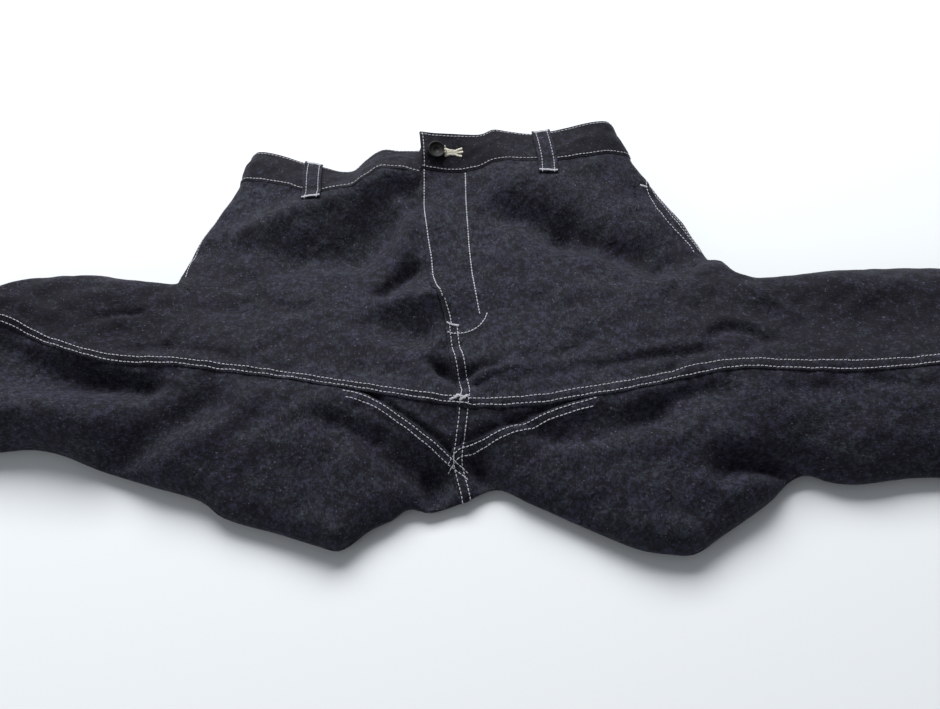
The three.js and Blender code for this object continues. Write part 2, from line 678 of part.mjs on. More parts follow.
// Keeps the panel lines on the curved fly edge and seat seam, fading out towards the side and the waist
const bowAt = (y, share) =>
  (centreX(y) - mix(middleX, waistMiddle, y / waistHeight)) *
  (1 - Math.min(share, 1)) ** 2 *
  (share > 0 ? 1 - THREE.MathUtils.smoothstep(y, bowEnd - bowFade, bowEnd) : 1);
const seatBow = (x, y) =>
  (centreX(Math.min(y, 0)) - middleX) * Math.max(0, 1 - Math.abs(x - middleX) / seatBowReach) ** 2;

// Front panel: from the fly and inseam over the hip and the leg's far fold to the side seam underneath
function frontPanel(side) {
  const groin = groinOf(side);
  const half = (side * seamGap) / 2;
  const hipRows = hipLines(side).map(({ front, inward, share, onSide, pocket }) => {
    const startX = mix(middleX, groin.x, share);
    const startY = inseamY(startX) + seamGap / 2;
    const bow = share * bowSpan;
    const rise = spread(riseStrips)
      .slice(0, -1)
      .map((t) => ({
        x: mix(startX, front.x + inward.x * rollSteps[0], t),
        y: mix(startY, front.y + inward.y * rollSteps[0], t),
      }));
    const turn = rollSteps.map((d) => ({ x: front.x + inward.x * d, y: front.y + inward.y * d }));
    return [...rise, ...turn].map(({ x, y }, j, all) => {
      const at = x + half * Math.max(0, 1 - share * 4) + bowAt(Math.max(y, 0), bow);
      const point = topPoint(at, y, side > 0 ? flyLift(at, y) : 0);
      if (j === all.length - 1 && onSide && !pocket) point.place.z += seamGap / 2;
      return point;
    });
  });
  const legRows = legStations(side).map((x) => {
    const start = inseamY(x) + seamGap / 2;
    const fold = farY[side](x);
    const { edge, round } = edgeAt(x, fold - 0.01);
    const depth = outseamDepth(side, x);
    const rise = spread(riseStrips - 1).map((t) => topPoint(x, mix(start, fold - round, t)));
    const roll = [0.3, 0].map((t) => topPoint(x, fold - round * t));
    const under = [edge * 0.4, edge + 1, depth - seamGap / 2].map((d) => underPoint(x, fold - d));
    return [...rise, ...roll, ...under];
  });
  return wall([...hipRows, ...legRows], cloth);
}

// Back panel: from the gusset and inseam over the near fold and under the seat to the waist and side seam
function backPanel(side) {
  const groin = groinOf(side);
  const half = (side * seamGap) / 2;
  const lines = [
    ...hipLines(side).map(({ back, share, ...line }) => ({
      ...line,
      x: mix(middleX, groin.x, share),
      end: back,
    })),
    ...legStations(side).map((x) => ({
      x,
      end: { x, y: farY[side](x) - outseamDepth(side, x) - seamGap / 2 },
      inward: { x: 0, y: -1 },
      onLeg: true,
    })),
  ];
  return wall(
    lines.map(({ x, end, inward, onSide, onLeg }) => {
      const inGusset = Math.abs(x) < Math.abs(gussetTip(side));
      const start = (inGusset ? gussetY[side](x) : inseamY(x)) - seamGap / 2;
      const shift = half * Math.max(0, 1 - Math.abs(x - middleX) / startReach);
      const fold = nearY(x);
      const { edge, round } = edgeAt(x, fold + 0.01);
      const roll = Math.min(round, (start - fold) * mostRoll);
      const rise = spread(seatStrips).map((t) => mix(start, fold + roll, t));
      const over = [...rise, fold + roll * 0.3, fold].map((y) => topPoint(x + shift + seatBow(x, y), y));
      const from = { x: x + shift + seatBow(x, fold), y: fold + edge };
      const steps = onLeg ? legSteps : onSide ? [edgeAt(end.x, end.y).edge, sideEnd, 0] : seatSteps;
      const inner = { x: end.x + inward.x * steps[0], y: end.y + inward.y * steps[0] };
      const under = [
        { x: from.x, y: fold + edge * 0.3 },
        ...[0, 0.35, 0.7].map((t) => ({ x: mix(from.x, inner.x, t), y: mix(from.y, inner.y, t) })),
        ...steps.map((d) => ({ x: end.x + inward.x * d, y: end.y + inward.y * d })),
      ].map((p) => underPoint(p.x, p.y));
      if (onSide) under[under.length - 1].place.z -= seamGap / 2;
      return [...over, ...under];
    }),
    cloth,
  );
}

// Gusset: the pointed piece let in between inseam and back panel, from the centre seam outwards
function gussetPiece(side) {
  const groin = groinOf(side);
  const half = (side * seamGap) / 2;
  const tip = gussetTip(side);
  const stations = hipLines(side)
    .map(({ share }) => mix(middleX, groin.x, share))
    .filter((x) => Math.abs(x) < Math.abs(tip) - gussetBlunt.clear);
  const last = stations[stations.length - 1];
  const blunt = tip - side * gussetBlunt.end;
  const lowAt = (x) =>
    x === blunt
      ? mix(gussetY[side](last), inseamY(tip), (blunt - last) / (tip - last)) + seamGap
      : gussetY[side](x) + seamGap / 2;
  return wall(
    [...stations, blunt].map((x) => {
      const shift = half * Math.max(0, 1 - Math.abs(x - middleX) / startReach);
      return spread(seatStrips).map((s) => {
        const y = mix(inseamY(x) - seamGap / 2, lowAt(x), s);
        return topPoint(x + shift + seatBow(x, y), y);
      });
    }),
    cloth,
  );
}

// Pocket facing: the strip between the pocket edge and the side seam, running in behind the pocket edge
function pocketFacing(side) {
  const behind = cloth + seamGap * 2;
  const lines = hipLines(side).filter(({ pocket }) => pocket);
  return wall(
    lines.map(({ y, inward }, i) => {
      const nudge = i === 0 ? facingEnds.upper : i === lines.length - 1 ? facingEnds.lower : 0;
      const front = pocketEdge(side, y + nudge);
      const outer = hipX[side](front.y);
      const inner = facingSteps.map((d) => topPoint(front.x + inward.x * d, front.y + inward.y * d, -behind));
      const shown = facingShares.map((t) => topPoint(mix(front.x, outer, t), front.y, -behind * (1 - t)));
      shown[shown.length - 1].place.z += seamGap / 2;
      return [...inner, ...shown];
    }),
    facingCloth,
  );
}

// A point on the front of the waistband, by the place on its seam and the share of its height
function bandPoint(side, x, share) {
  const [seamY, topX, topY, topZ] = ["seamY", "topX", "topY", "topZ"].map((key) =>
    column(waistRows[side], key)(x),
  );
  const corner = cornerOf(side);
  const sunk = flyRaise * THREE.MathUtils.smoothstep(x, bandLap.from, bandLap.to);
  const over = side > 0 ? flyLift(x, seamY) : -sunk;
  const atCorner = Math.abs(x - corner.x) < 0.01;
  const seam = topPoint(atCorner ? hipX[side](seamY) : x, seamY + seamGap / 2, bandStep + over);
  const rolled = quarter(Math.abs(x - corner.x) / bandRound);
  const edge = farRows[side][0].edge;
  const top = new THREE.Vector3(topX, topY, mix(edge, topZ, rolled) + over);
  const place = seam.place.clone().lerp(top, share);
  return { place: place.addScaledVector(seam.face, bandBulge * Math.sin(Math.PI * share)), face: seam.face };
}

// Gives each point of a grid the way its face looks, from its neighbours. The first of each row keeps
// its own.
function faceGrid(rows) {
  return rows.map((row, i) =>
    row.map(({ place, face }, j) => {
      if (j === 0) return { place, face };
      const along = rows[Math.min(i + 1, rows.length - 1)][j].place
        .clone()
        .sub(rows[Math.max(i - 1, 0)][j].place);
      const up = row[Math.min(j + 1, row.length - 1)].place.clone().sub(row[j - 1].place);
      const across = along.cross(up).normalize();
      return { place, face: across.dot(face) < 0 ? across.negate() : across };
    }),
  );
}

// The front of a band half, from its front end to the hip's side, in the panel's own stations
function bandFront(side) {
  const rows = waistRows[side];
  const corner = cornerOf(side);
  const stations = waistShares(side).map((t) => mix(waistMiddle, corner.x, t));
  stations[0] = side > 0 ? rows[0].x : rows[rows.length - 1].x;
  return faceGrid(stations.map((x) => spread(bandStrips).map((v) => bandPoint(side, x, v))));
}

// Half of the waistband: from its front end round the hip's side to the middle of the back
function waistband(side) {
  const corner = cornerOf(side);
  const front = bandFront(side);
  const behind = bandCloth + seamGap * 2;
  const lapped = bandFront(1)
    .slice(1, 3)
    .reverse()
    .map((row) =>
      row.map(({ place, face }) => ({ place: place.clone().addScaledVector(face, -behind), face })),
    );
  const edge = farRows[side][0].edge;
  const half = (side * seamGap) / 2;
  const back = bandTurn
    .map((d) => corner.x - side * d)
    .concat(
      waistShares(side)
        .slice(0, -2)
        .reverse()
        .map((t) => mix(backLoops.belt_loop_back_centre, corner.x, t)),
    )
    .map((x, i, all) => {
      const away = Math.abs(x - corner.x);
      const slant = (corner.topX - corner.x) * Math.max(0, 1 - away / bandSlant);
      const at = i === all.length - 1 ? x + half : x;
      const seam = underPoint(at, backSeamY(at) + seamGap / 2);
      const z = mix(edge, backBandRise, quarter(away / edge));
      const top = new THREE.Vector3(at + slant, backSeamY(at) + bandHeight - 1, z);
      return spread(bandStrips).map((v) => ({ place: seam.place.clone().lerp(top, v), face: seam.face }));
    });
  const own = faceGrid([...front, ...back]);
  return wall(side > 0 ? own : [...lapped, ...own], bandCloth);
}

// Front belt loop: up over the front panel and the band
function frontLoop(name) {
  const side = sides[name];
  const { fromX, fromY, toX } = loopRows[name];
  const seamAt = column(waistRows[side], "seamY");
  const below = [0, 0.5, 0.9];
  const above = [0.1, 0.4, 0.7, 1, 1.05];
  const steps = below.length + above.length;
  const off = loopClearance + loopCloth;
  return wall(
    [...below, ...above].map((share, i) => {
      const arch = loopArch * Math.sin((Math.PI * Math.min(i, steps - 2)) / (steps - 2));
      const x = mix(fromX, toX, i < below.length ? 0 : share * 0.2);
      return [-0.5, 0, 0.5].map((u) => {
        const at = x + u * loopWidth;
        const point =
          i < below.length
            ? topPoint(at, mix(fromY, seamAt(at), share))
            : bandPoint(side, at, share);
        point.place.addScaledVector(point.face, off + arch);
        return point;
      });
    }),
    loopCloth,
  );
}

// Back belt loop: flat on the surface, under the band and the top of the seat
function backLoop(x) {
  const low = backSeamY(x) - backLoopDrop;
  const high = backSeamY(x) + bandHeight - 1;
  const geometry = new THREE.BoxGeometry(loopWidth, high - low, loopCloth);
  return geometry.translate(x, (low + high) / 2, loopCloth / 2);
}

const denim = () => new THREE.MeshStandardMaterial({ color: 0x26272f, roughness: 0.9, metalness: 0 });
const black = () => new THREE.MeshStandardMaterial({ color: 0x0c0c0e, roughness: 0.35, metalness: 0 });
const model = new THREE.Group();
function add(name, geometry, material = denim()) {
  const mesh = new THREE.Mesh(geometry, material);
  mesh.name = name;
  mesh.position.y = -originY;
  model.add(mesh);
  return mesh;
}

const sides = { left: 1, right: -1 };
for (const [name, side] of Object.entries(sides)) {
  add("front_panel_" + name, frontPanel(side));
  add("back_panel_" + name, backPanel(side));
  add("gusset_" + name, gussetPiece(side));
  add("pocket_facing_" + name, pocketFacing(side));
  add("waistband_" + name, waistband(side));
  add("belt_loop_front_" + name, frontLoop(name));
}
for (const [name, x] of Object.entries(backLoops)) add(name, backLoop(x));

// The button sits on the lapping end of the band
const buttonPatch = { across: 4, up: 0.1 }; // the bit of band whose slope the button takes
const nearButton = [-1, 0, 1].map((d) =>
  [-1, 0, 1].map((v) => bandPoint(1, buttonX + d * buttonPatch.across, buttonShare + v * buttonPatch.up)),
);
const seat = faceGrid(nearButton)[1][1];
const button = add(
  "button",
  new THREE.LatheGeometry(
    buttonRows.map(({ out, up }) => new THREE.Vector2(out, up)),
    24,
  ),
  black(),
);
button.position.add(seat.place.clone().addScaledVector(seat.face, buttonSeat));
button.quaternion.setFromUnitVectors(new THREE.Vector3(0, 1, 0), seat.face);

export default model;
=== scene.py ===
# Work trousers in raw dark denim, laid out flat with the legs opened to either side.
import math

import bpy
import numpy as np
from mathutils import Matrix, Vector
from mathutils.bvhtree import BVHTree


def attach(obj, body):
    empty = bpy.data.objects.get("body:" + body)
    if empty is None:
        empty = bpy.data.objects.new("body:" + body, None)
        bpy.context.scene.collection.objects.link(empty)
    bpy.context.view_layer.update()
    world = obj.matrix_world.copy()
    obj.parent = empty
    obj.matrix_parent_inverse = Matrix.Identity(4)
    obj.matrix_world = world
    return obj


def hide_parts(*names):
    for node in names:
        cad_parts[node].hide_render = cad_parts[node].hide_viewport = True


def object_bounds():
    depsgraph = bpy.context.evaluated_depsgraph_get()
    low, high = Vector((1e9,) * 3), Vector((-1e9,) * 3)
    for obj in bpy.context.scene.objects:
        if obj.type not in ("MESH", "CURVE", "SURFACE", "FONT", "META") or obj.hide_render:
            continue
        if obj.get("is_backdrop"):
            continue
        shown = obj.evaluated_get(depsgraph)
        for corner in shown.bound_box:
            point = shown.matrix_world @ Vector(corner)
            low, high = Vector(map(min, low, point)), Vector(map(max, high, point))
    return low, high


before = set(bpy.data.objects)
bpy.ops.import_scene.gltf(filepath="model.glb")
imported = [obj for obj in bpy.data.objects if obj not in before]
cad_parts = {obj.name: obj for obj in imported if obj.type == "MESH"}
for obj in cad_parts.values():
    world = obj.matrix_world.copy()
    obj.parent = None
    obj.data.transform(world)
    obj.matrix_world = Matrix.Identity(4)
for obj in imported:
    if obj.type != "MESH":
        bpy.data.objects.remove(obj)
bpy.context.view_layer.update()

# Lengths are millimetres with the crotch crossing at zero, as the cloth was measured. toFrame turns them
# into the frame's metres. X runs to the wearer's left, Y to the waist and Z up from the floor.
garment = {
    "cloth": 1.1,
    "bandCloth": 2.2,
    "loopCloth": 1.2,
    "facingCloth": 1.0,
    "legReach": 705,
    "originY": 100,
    "hemTurn": 26,
    "hemLift": 0.9,
    "backBandRise": 1.6,
    "bandStep": 0.5,
    "bandHeight": 38,
    "bandRound": 13,
    "flyRaise": 1.5,
    "loopWidth": 17.5,
    "loopOff": 1.7,
    "buttonX": -26,
    "seamGap": 0.3,
    "lap": 1.3,  # how far a felled seam stands up
    "tuck": 5,  # how far the lower layer runs in under it
    "fellWidth": 9.5,
    "firstRow": 2.2,  # stitched rows sink into the felled strip this far in from its edges
    "lastRow": 0.6,
    "rowSink": 0.32,
    "rowWide": 1.1,
    "edgeSink": 0.4,
    "pucker": 0.28,
    "gussetDip": 3,  # the gusset dips this far where it runs in under the back
    "facingDrop": 1.7,  # and the facing lies this far behind the pocket's edge
    "ripple": 1.5,
    "settle": 0.3,  # how much lower the cloth lies along the near fold than the solid
    "settleReach": 38,
    "roll": 0.85,  # how widely the cloth rounds over to a fold, as a share of the solid's
    "creaseDepth": 1.4,
    "seed": 7,
}
originY = garment["originY"]
reach = garment["legReach"]


def toFrame(points):
    return (np.asarray(points, float) - (0, originY, 0)) / 1000


# Rows of numbers by their columns' names
def columns(names, rows):
    return dict(zip(names.split(), np.array(rows, float).T))


inseam = columns("x y", [
    (-705, 18), (-560, 55), (-470, 72), (-387, 71), (-339, 50), (-295, 36.5), (-212, 26), (-150, 17),
    (-114, 10.5), (-51, 0), (-4, -6), (30, -7.5), (60, -6.5), (90, -3), (123, 0.5), (155, 8.5), (188, 17),
    (221, 22), (260, 23), (317, 23), (383, 30), (560, 44), (705, 48)])
gussetRight = columns("x y", [(-96, 7), (-76, 1), (-57, -10), (-37, -23), (-18, -35.5), (-4.8, -45)])
gussetLeft = columns("x y", [
    (-4.8, -36), (16, -28), (29, -22.5), (48, -18), (67, -10.5), (87, -5), (104, -1.5)])
centre = columns("y x", [
    (-75, -3), (-66, -5), (-53, -8.5), (-45, -10), (-32, -8.6), (-16, -6.3), (0, -4.8), (10, -4), (33, -7.6),
    (52, -11.8), (65, -13.5), (83, -15.5), (97, -20), (124, -28), (146, -30.5), (174, -34.4), (210, -38.4),
    (236, -39.1), (250, -39.5), (300, -40)])

# Folded outline: the fold's height and how far the top rounds over towards it
near = columns("x y edge round", [
    (-705, -70, 5, 12), (-560, -55, 7, 18), (-450, -38, 9, 24), (-372, -30, 10, 26), (-347, -28, 10, 26),
    (-323, -33, 10, 26), (-289, -47, 10, 24), (-246, -61, 10, 24), (-205, -74, 10, 22), (-186, -88, 10, 22),
    (-140, -102, 10, 22), (-112, -111, 10, 20), (-93, -115, 10, 18), (-71, -98, 10, 20), (-54, -89, 9, 20),
    (-43, -80, 9, 18), (-26, -83, 8, 18), (0, -74, 8, 16), (26, -63, 8, 16), (51, -75, 9, 20),
    (97, -98, 10, 22), (133, -114, 10, 22), (156, -118, 10, 20), (175, -118, 10, 18), (195, -105, 10, 18),
    (238, -75, 10, 20), (257, -57, 10, 20), (272, -51, 10, 22), (289, -57, 10, 24), (311, -59, 10, 24),
    (360, -53, 10, 24), (430, -54, 9, 24), (560, -50, 7, 18), (705, -42, 5, 12)])
rightHip = columns("x y edge round", [
    (-205, 291, 8, 12), (-215, 251, 7, 13), (-222, 233, 7, 14), (-241, 190, 7, 14), (-251, 152, 7, 14),
    (-255, 130, 8, 16)])
rightLeg = columns("x y edge round", [
    (-255, 130, 8, 16), (-288, 133, 9, 20), (-311, 138, 10, 22), (-334, 139, 10, 24), (-376, 131, 10, 24),
    (-408, 117, 9, 24), (-560, 112, 7, 18), (-705, 105, 5, 12)])
leftHip = columns("x y edge round", [
    (146, 318, 9, 12), (159.5, 280, 8, 13), (174, 256, 7, 13), (200, 211, 7, 14), (211, 186, 7, 14),
    (220, 161, 9, 16)])
leftLeg = columns("x y edge round", [
    (220, 161, 9, 16), (231, 156, 11, 20), (243, 138, 11, 20), (263, 137, 10, 22), (299, 143, 10, 24),
    (327, 148.5, 10, 24), (426, 152, 9, 24), (560, 150, 7, 18), (705, 140, 5, 12)])

# Front waist, by the place on the seam: the seam's Y, then the band's top edge
leftWaist = columns("x seamY topX topY topZ", [
    (-40.5, 252, -42, 288, 49.5), (-23, 252, -26, 287.5, 47.5), (5, 254.3, 7, 291.3, 43),
    (15.5, 256.7, 17, 294, 42), (29, 262.2, 27, 300.2, 41.5), (44, 260.3, 41, 298.2, 41),
    (65, 259.2, 62, 297, 39), (84, 259.5, 80, 297.5, 41.5), (103, 262.8, 98, 300.4, 44),
    (122, 267.9, 116, 304.5, 46), (141, 272.6, 131, 308, 45), (154, 275, 142, 313, 38),
    (159.5, 279, 146.5, 317, 32)])
rightWaist = columns("x seamY topX topY topZ", [
    (-213, 252.5, -206.5, 289, 22), (-192, 247.4, -191, 285.4, 26.5), (-172.5, 242.5, -173, 281, 25.5),
    (-150.5, 233.8, -152, 272, 25.5), (-131, 227.5, -133, 265, 27), (-114.5, 227.9, -117, 263.3, 23),
    (-102, 231, -104.5, 265.5, 22.5), (-91.5, 238.5, -95, 274, 26), (-82, 245.5, -85.5, 282, 28.5),
    (-74, 248.3, -76.5, 284.8, 30.5), (-60, 248.6, -62, 285, 28.5), (-42, 248, -43.5, 285.3, 30)])
backWaist = columns("x y", [(-214, 252.5), (-170, 246), (-105, 239), (-31, 246), (60, 261), (160, 279)])
leftPocket = columns("y inset", [
    (164, 11), (180, 12), (197, 17.5), (213, 19), (231, 14.5), (241, 11), (250, 5)])
rightPocket = columns("y inset", [(133, 8), (150, 5.5), (170, 3.5), (194, 2), (232, 1.5)])
backLoops = {"belt_loop_back_right": -150, "belt_loop_back_centre": -31, "belt_loop_back_left": 92}
frontLoops = {"left": (77, 242, 70), "right": (-140.5, 216, -141)}

# Height of the upper side before its folds, in sections across the legs at these Y
sectionY = np.array([-90, -40, 10, 60, 110, 160, 210, 262.0])
heights = columns("x near back seam thigh groin hip yoke waist", [
    (-705, 13, 15, 16, 15, 14, 14, 14, 14), (-560, 18, 25, 30, 31, 24, 20, 20, 20),
    (-420, 26, 36, 42, 50, 42, 30, 20, 20), (-350, 28, 40, 44, 52, 44, 30, 20, 20),
    (-290, 30, 38, 44, 48, 40, 24, 18, 18), (-240, 30, 38, 44, 44, 34, 20, 17, 17),
    (-190, 32, 38, 44, 42, 33, 26, 24, 27), (-140, 34, 41, 45, 42, 34, 29, 27, 27),
    (-95, 34, 42, 46, 42, 35, 30, 32, 36), (-50, 24, 35, 44, 38, 36, 34, 35, 37),
    (0, 14, 28, 42, 34, 36, 35, 33, 31), (45, 24, 35, 45, 43, 41, 37, 35, 40),
    (95, 34, 41, 48, 46, 43, 37, 37, 40), (140, 36, 44, 50, 48, 43, 33, 32, 36),
    (190, 36, 46, 50, 48, 42, 26, 21, 22), (240, 34, 44, 48, 46, 42, 26, 20, 20),
    (290, 28, 39, 46, 45, 39, 26, 20, 20), (420, 26, 37, 43, 42, 37, 26, 20, 20),
    (560, 18, 25, 29, 28, 24, 20, 18, 18), (705, 13, 15, 16, 16, 15, 14, 14, 14)])

# Largest folds: a crest, or below nothing a trough, along a line, with its spread to either side
folds = columns("fromX fromY toX toY lift left right", [
    (-62, 262, -180, 192, 6, 24, 22), (-50, 212, -92, 160, -11, 16, 26), (-96, 158, -150, 150, -8, 22, 22),
    (-58, 214, -46, 148, 6, 12, 10), (-48, 134, -66, 112, -8, 13, 13), (-66, 94, -26, 100, 6, 10, 10),
    (-25, 99, -20, 60, 6, 9, 9), (-70, 76, -38, 70, -6, 15, 15), (34, 234, 158, 196, 5, 22, 22),
    (42, 203, 84, 178, -10, 20, 20), (88, 176, 188, 137, -9, 17, 17), (-18, 30, 10, 16, -10, 8, 9),
    (-100, -23, -26, -60, -9, 12, 14), (64, -30, 150, -16, -8, 12, 13), (152, -12, 206, 2, -6, 12, 12),
    (-20, -58, -23, -86, -7, 12, 14), (15, -50, 27, -66, -7, 12, 12), (-396, 58, -256, 16, -12, 13, 28),
    (-282, -50, -206, -4, -9, 17, 17), (-244, -64, -178, 0, 5, 17, 17), (198, -54, 262, -50, -10, 11, 12),
    (150, 106, 222, 142, 6, 13, 16)])

# Smaller creases, each bent through a middle point, with its lift and half width
creases = columns("fromX fromY midX midY toX toY lift wide", [
    (-55, 227, -96, 195, -150, 167, -3.5, 17), (-123, 215, -167, 195, -212, 177, 1.8, 12),
    (-59, 218, -50, 182, -58, 148, 3.6, 6), (-73, 111, -58, 128, -40, 141, -5, 5),
    (-76, 101, -52, 103, -27, 97, 2.2, 6), (-27, 99, -19, 81, -18, 51, 1.8, 6),
    (-76, 73, -55, 65, -34, 71, -2.8, 12), (-222, 140, -190, 128, -170, 102, -2.4, 10),
    (-172, 107, -156, 95, -140, 89, -2, 6), (23, 165, 30, 195, 60, 203, -2.6, 9),
    (60, 200, 100, 178, 156, 142, -3.6, 14), (44, 174, 86, 160, 118, 138, 1.8, 14),
    (178, 104, 186, 119, 193, 132, -3.4, 4), (158, 110, 165, 131, 175, 151, -2, 5),
    (184, 114, 200, 127, 216, 132, 2.4, 6), (231, 112, 252, 102, 274, 86, 2.2, 7),
    (109, 26, 150, 34, 209, 44, -2.8, 5), (110, 35, 150, 43, 196, 49, 1.6, 6),
    (166, 22, 174, 31, 182, 37, -1.8, 3.5), (194, 45, 216, 65, 248, 55, -3, 6),
    (196, 56, 220, 74, 258, 62, 1.8, 7), (60, -29, 112, -32, 160, -8, -3, 7),
    (158, -7, 178, 3, 198, 6, -2.6, 5), (196, -66, 226, -50, 264, -62, -6, 7),
    (136, -45, 160, -39, 186, -23, 1.6, 9), (240, 2, 280, 9, 330, 0, -1.4, 6),
    (314, 14, 346, 14, 384, 7, -2.4, 6), (29, 43, 66, 37, 104, 50, -1.6, 6),
    (45, 18, 80, 24, 112, 28, -1.4, 6), (-31, 38, -12, 25, 4, 3, -4, 4), (3, 20, 18, 23, 40, 29, 3.4, 2.6),
    (-2, 41, 7, 34, 20, 31, 2, 3), (-1, 42, 9, 52, 17, 66, 1.6, 3.5), (2, 26, 12, 31, 26, 31, -5, 4.5),
    (-40, 15, -62, 23, -96, 31, -1.6, 6), (-33, 32, -60, 46, -92, 54, 1.3, 7),
    (9, -41, 14, -53, 17, -69, -4, 5), (13, -38, 20, -46, 26, -57, 2, 3.5),
    (-28, -47, -28, -63, -24, -79, -3.4, 6), (-93, -19, -78, -29, -60, -33, -2.6, 5),
    (-107, -27, -98, -34, -90, -36, -1.8, 4), (-202, -42, -184, -20, -153, 6, 2.2, 7),
    (-192, -50, -166, -30, -138, -10, -1.8, 7), (13, -4, 16, -12, 22, -19, 1.6, 4),
    (27, -15, 38, -18, 54, -22, -2, 4), (-386, 63, -330, 45, -226, 15, 2.4, 5),
    (-384, 46, -330, 33, -243, 13, -3.4, 7), (-315, -44, -262, -38, -196, 0, -3.4, 10),
    (-372, -6, -312, -8, -248, -6, 2.2, 14), (-228, -67, -182, -45, -136, -15, 2, 12),
    (-140, -28, -118, -18, -94, -23, -2, 7), (-304, 78, -288, 81, -270, 84, -2.4, 3.5),
    (-290, 47, -236, 47, -180, 35, -2.6, 6), (-248, 46, -244, 60, -234, 74, 1.8, 4),
    (-177, 32, -172, 46, -162, 61, 1.6, 4), (-352, 92, -320, 108, -288, 104, -1.6, 8),
    (-430, 79, -400, 91, -362, 87, 1.8, 9), (296, -33, 340, -27, 388, -35, 1.6, 9),
    (440, 90, 480, 78, 520, 86, 1.6, 11), (470, 0, 520, -10, 566, -2, -1.7, 11),
    (590, 98, 622, 84, 660, 90, -1.4, 11), (580, -18, 616, -8, 652, -16, 1.4, 11),
    (-440, 24, -484, 14, -530, 22, 1.7, 11), (-470, 92, -520, 78, -566, 86, -1.7, 11),
    (-590, -24, -624, -12, -656, -20, -1.4, 11), (-600, 66, -636, 56, -668, 64, 1.4, 11),
    (20, 192, 40, 156, 44, 124, 1.2, 8), (-214, 202, -196, 176, -202, 146, 1.2, 8),
    (-60, 246, -120, 218, -206, 184, 4, 12), (-56, 204, -100, 174, -158, 152, -6, 17),
    (-430, 54, -350, 60, -258, 58, -6, 20), (-430, 104, -350, 108, -262, 106, 5, 18),
    (262, 66, 340, 72, 440, 72, -5, 20), (258, 112, 340, 118, 440, 120, 5, 18),
    (-36, 52, -14, 44, 4, 46, 2.2, 6),
    (-410, -8, -330, -16, -246, -24, 8, 22), (-400, 30, -330, 22, -256, 12, -7, 13),
    (-30, 150, -26, 180, -30, 214, 1.5, 7), (12, 240, 20, 214, 14, 184, -1.5, 9),
    (50, 240, 90, 232, 140, 226, 2.5, 14), (96, 70, 130, 84, 168, 88, 1.6, 10),
    (112, 118, 140, 112, 168, 100, -1.6, 9), (-150, 70, -120, 84, -84, 84, 1.6, 9),
    (-232, 92, -204, 96, -176, 88, -1.6, 8)])

# Outer row of stitches along the inseam, by its distance from the seam's edge
inseamRows = columns("x away", [(-705, 7.5), (-100, 6.4), (0, 7), (100, 8.6), (250, 9.6), (705, 8.6)])
jRow = [(0.5, 251), (1.1, 218), (3, 178), (5.6, 140), (9, 112), (12.8, 88)]
jArc = [(19, 86), (16.5, 79), (11.4, 72.5), (3.1, 69), (-6, 67.4), (-13, 66.6)]


def hermite(a, b, slopeA, slopeB, span, t):
    rise = a * (2 * t**3 - 3 * t**2 + 1) + b * (3 * t**2 - 2 * t**3)
    return rise + span * (slopeA * (t**3 - 2 * t**2 + t) + slopeB * (t**3 - t**2))


# The smooth curve through values at rising positions, level beyond its ends
def curve(at, values):
    at, values = np.asarray(at, float), np.asarray(values, float)
    last = len(at) - 1
    before, after = np.maximum(np.arange(last + 1) - 1, 0), np.minimum(np.arange(last + 1) + 1, last)
    slopes = (values[after] - values[before]) / (at[after] - at[before])

    def value(x):
        x = np.clip(x, at[0], at[-1])
        i = np.clip(np.searchsorted(at, x) - 1, 0, last - 1)
        span = at[i + 1] - at[i]
        return hermite(values[i], values[i + 1], slopes[i], slopes[i + 1], span, (x - at[i]) / span)

    return value


def column(table, key, by="x"):
    order = np.argsort(table[by])
    return curve(table[by][order], table[key][order])


def smooth(x, low, high):
    t = np.clip((x - low) / (high - low), 0, 1)
    return t * t * (3 - 2 * t)


def mix(a, b, t):
    return a + (b - a) * t


def quarter(share):
    return np.sqrt(1 - (1 - np.minimum(share, 1)) ** 2)


# A rounded bump of height 1 about nothing
def bell(away, wide):
    return np.exp(-((away / wide) ** 2))


def unit(v):
    return v / np.linalg.norm(v, axis=-1, keepdims=True)


inseamY = column(inseam, "y")
nearY = column(near, "y")
centreX = column(centre, "x", "y")
backSeamY = column(backWaist, "y")
gussetY = {-1: column(gussetRight, "y"), 1: column(gussetLeft, "y")}
gussetTip = {-1: gussetRight["x"][0], 1: gussetLeft["x"][-1]}
waistOf = {-1: rightWaist, 1: leftWaist}
hipOf = {-1: rightHip, 1: leftHip}
legOf = {-1: rightLeg, 1: leftLeg}
hipX = {side: column(hipOf[side], "x", "y") for side in (-1, 1)}
farY = {side: column(legOf[side], "y") for side in (-1, 1)}
pocketOf = {-1: rightPocket, 1: leftPocket}
pocketInset = {side: column(pocketOf[side], "inset", "y") for side in (-1, 1)}
middleX = float(centreX(0))
waistHeight = 252
waistMiddle = float(centreX(waistHeight))
sideNames = {-1: "right", 1: "left"}
heightCurves = [column(heights, key) for key in list(heights)[1:]]


def heightAt(x, y):
    across = np.stack([one(x) for one in heightCurves])
    last = len(sectionY) - 1
    before, after = np.maximum(np.arange(last + 1) - 1, 0), np.minimum(np.arange(last + 1) + 1, last)
    slopes = (across[after] - across[before]) / (sectionY[after] - sectionY[before])[:, None]
    y = np.clip(y, sectionY[0], sectionY[-1])
    i = np.clip(np.searchsorted(sectionY, y) - 1, 0, last - 1)
    n = np.arange(len(y))
    span = sectionY[i + 1] - sectionY[i]
    t = (y - sectionY[i]) / span
    return hermite(across[i, n], across[i + 1, n], slopes[i, n], slopes[i + 1, n], span, t)


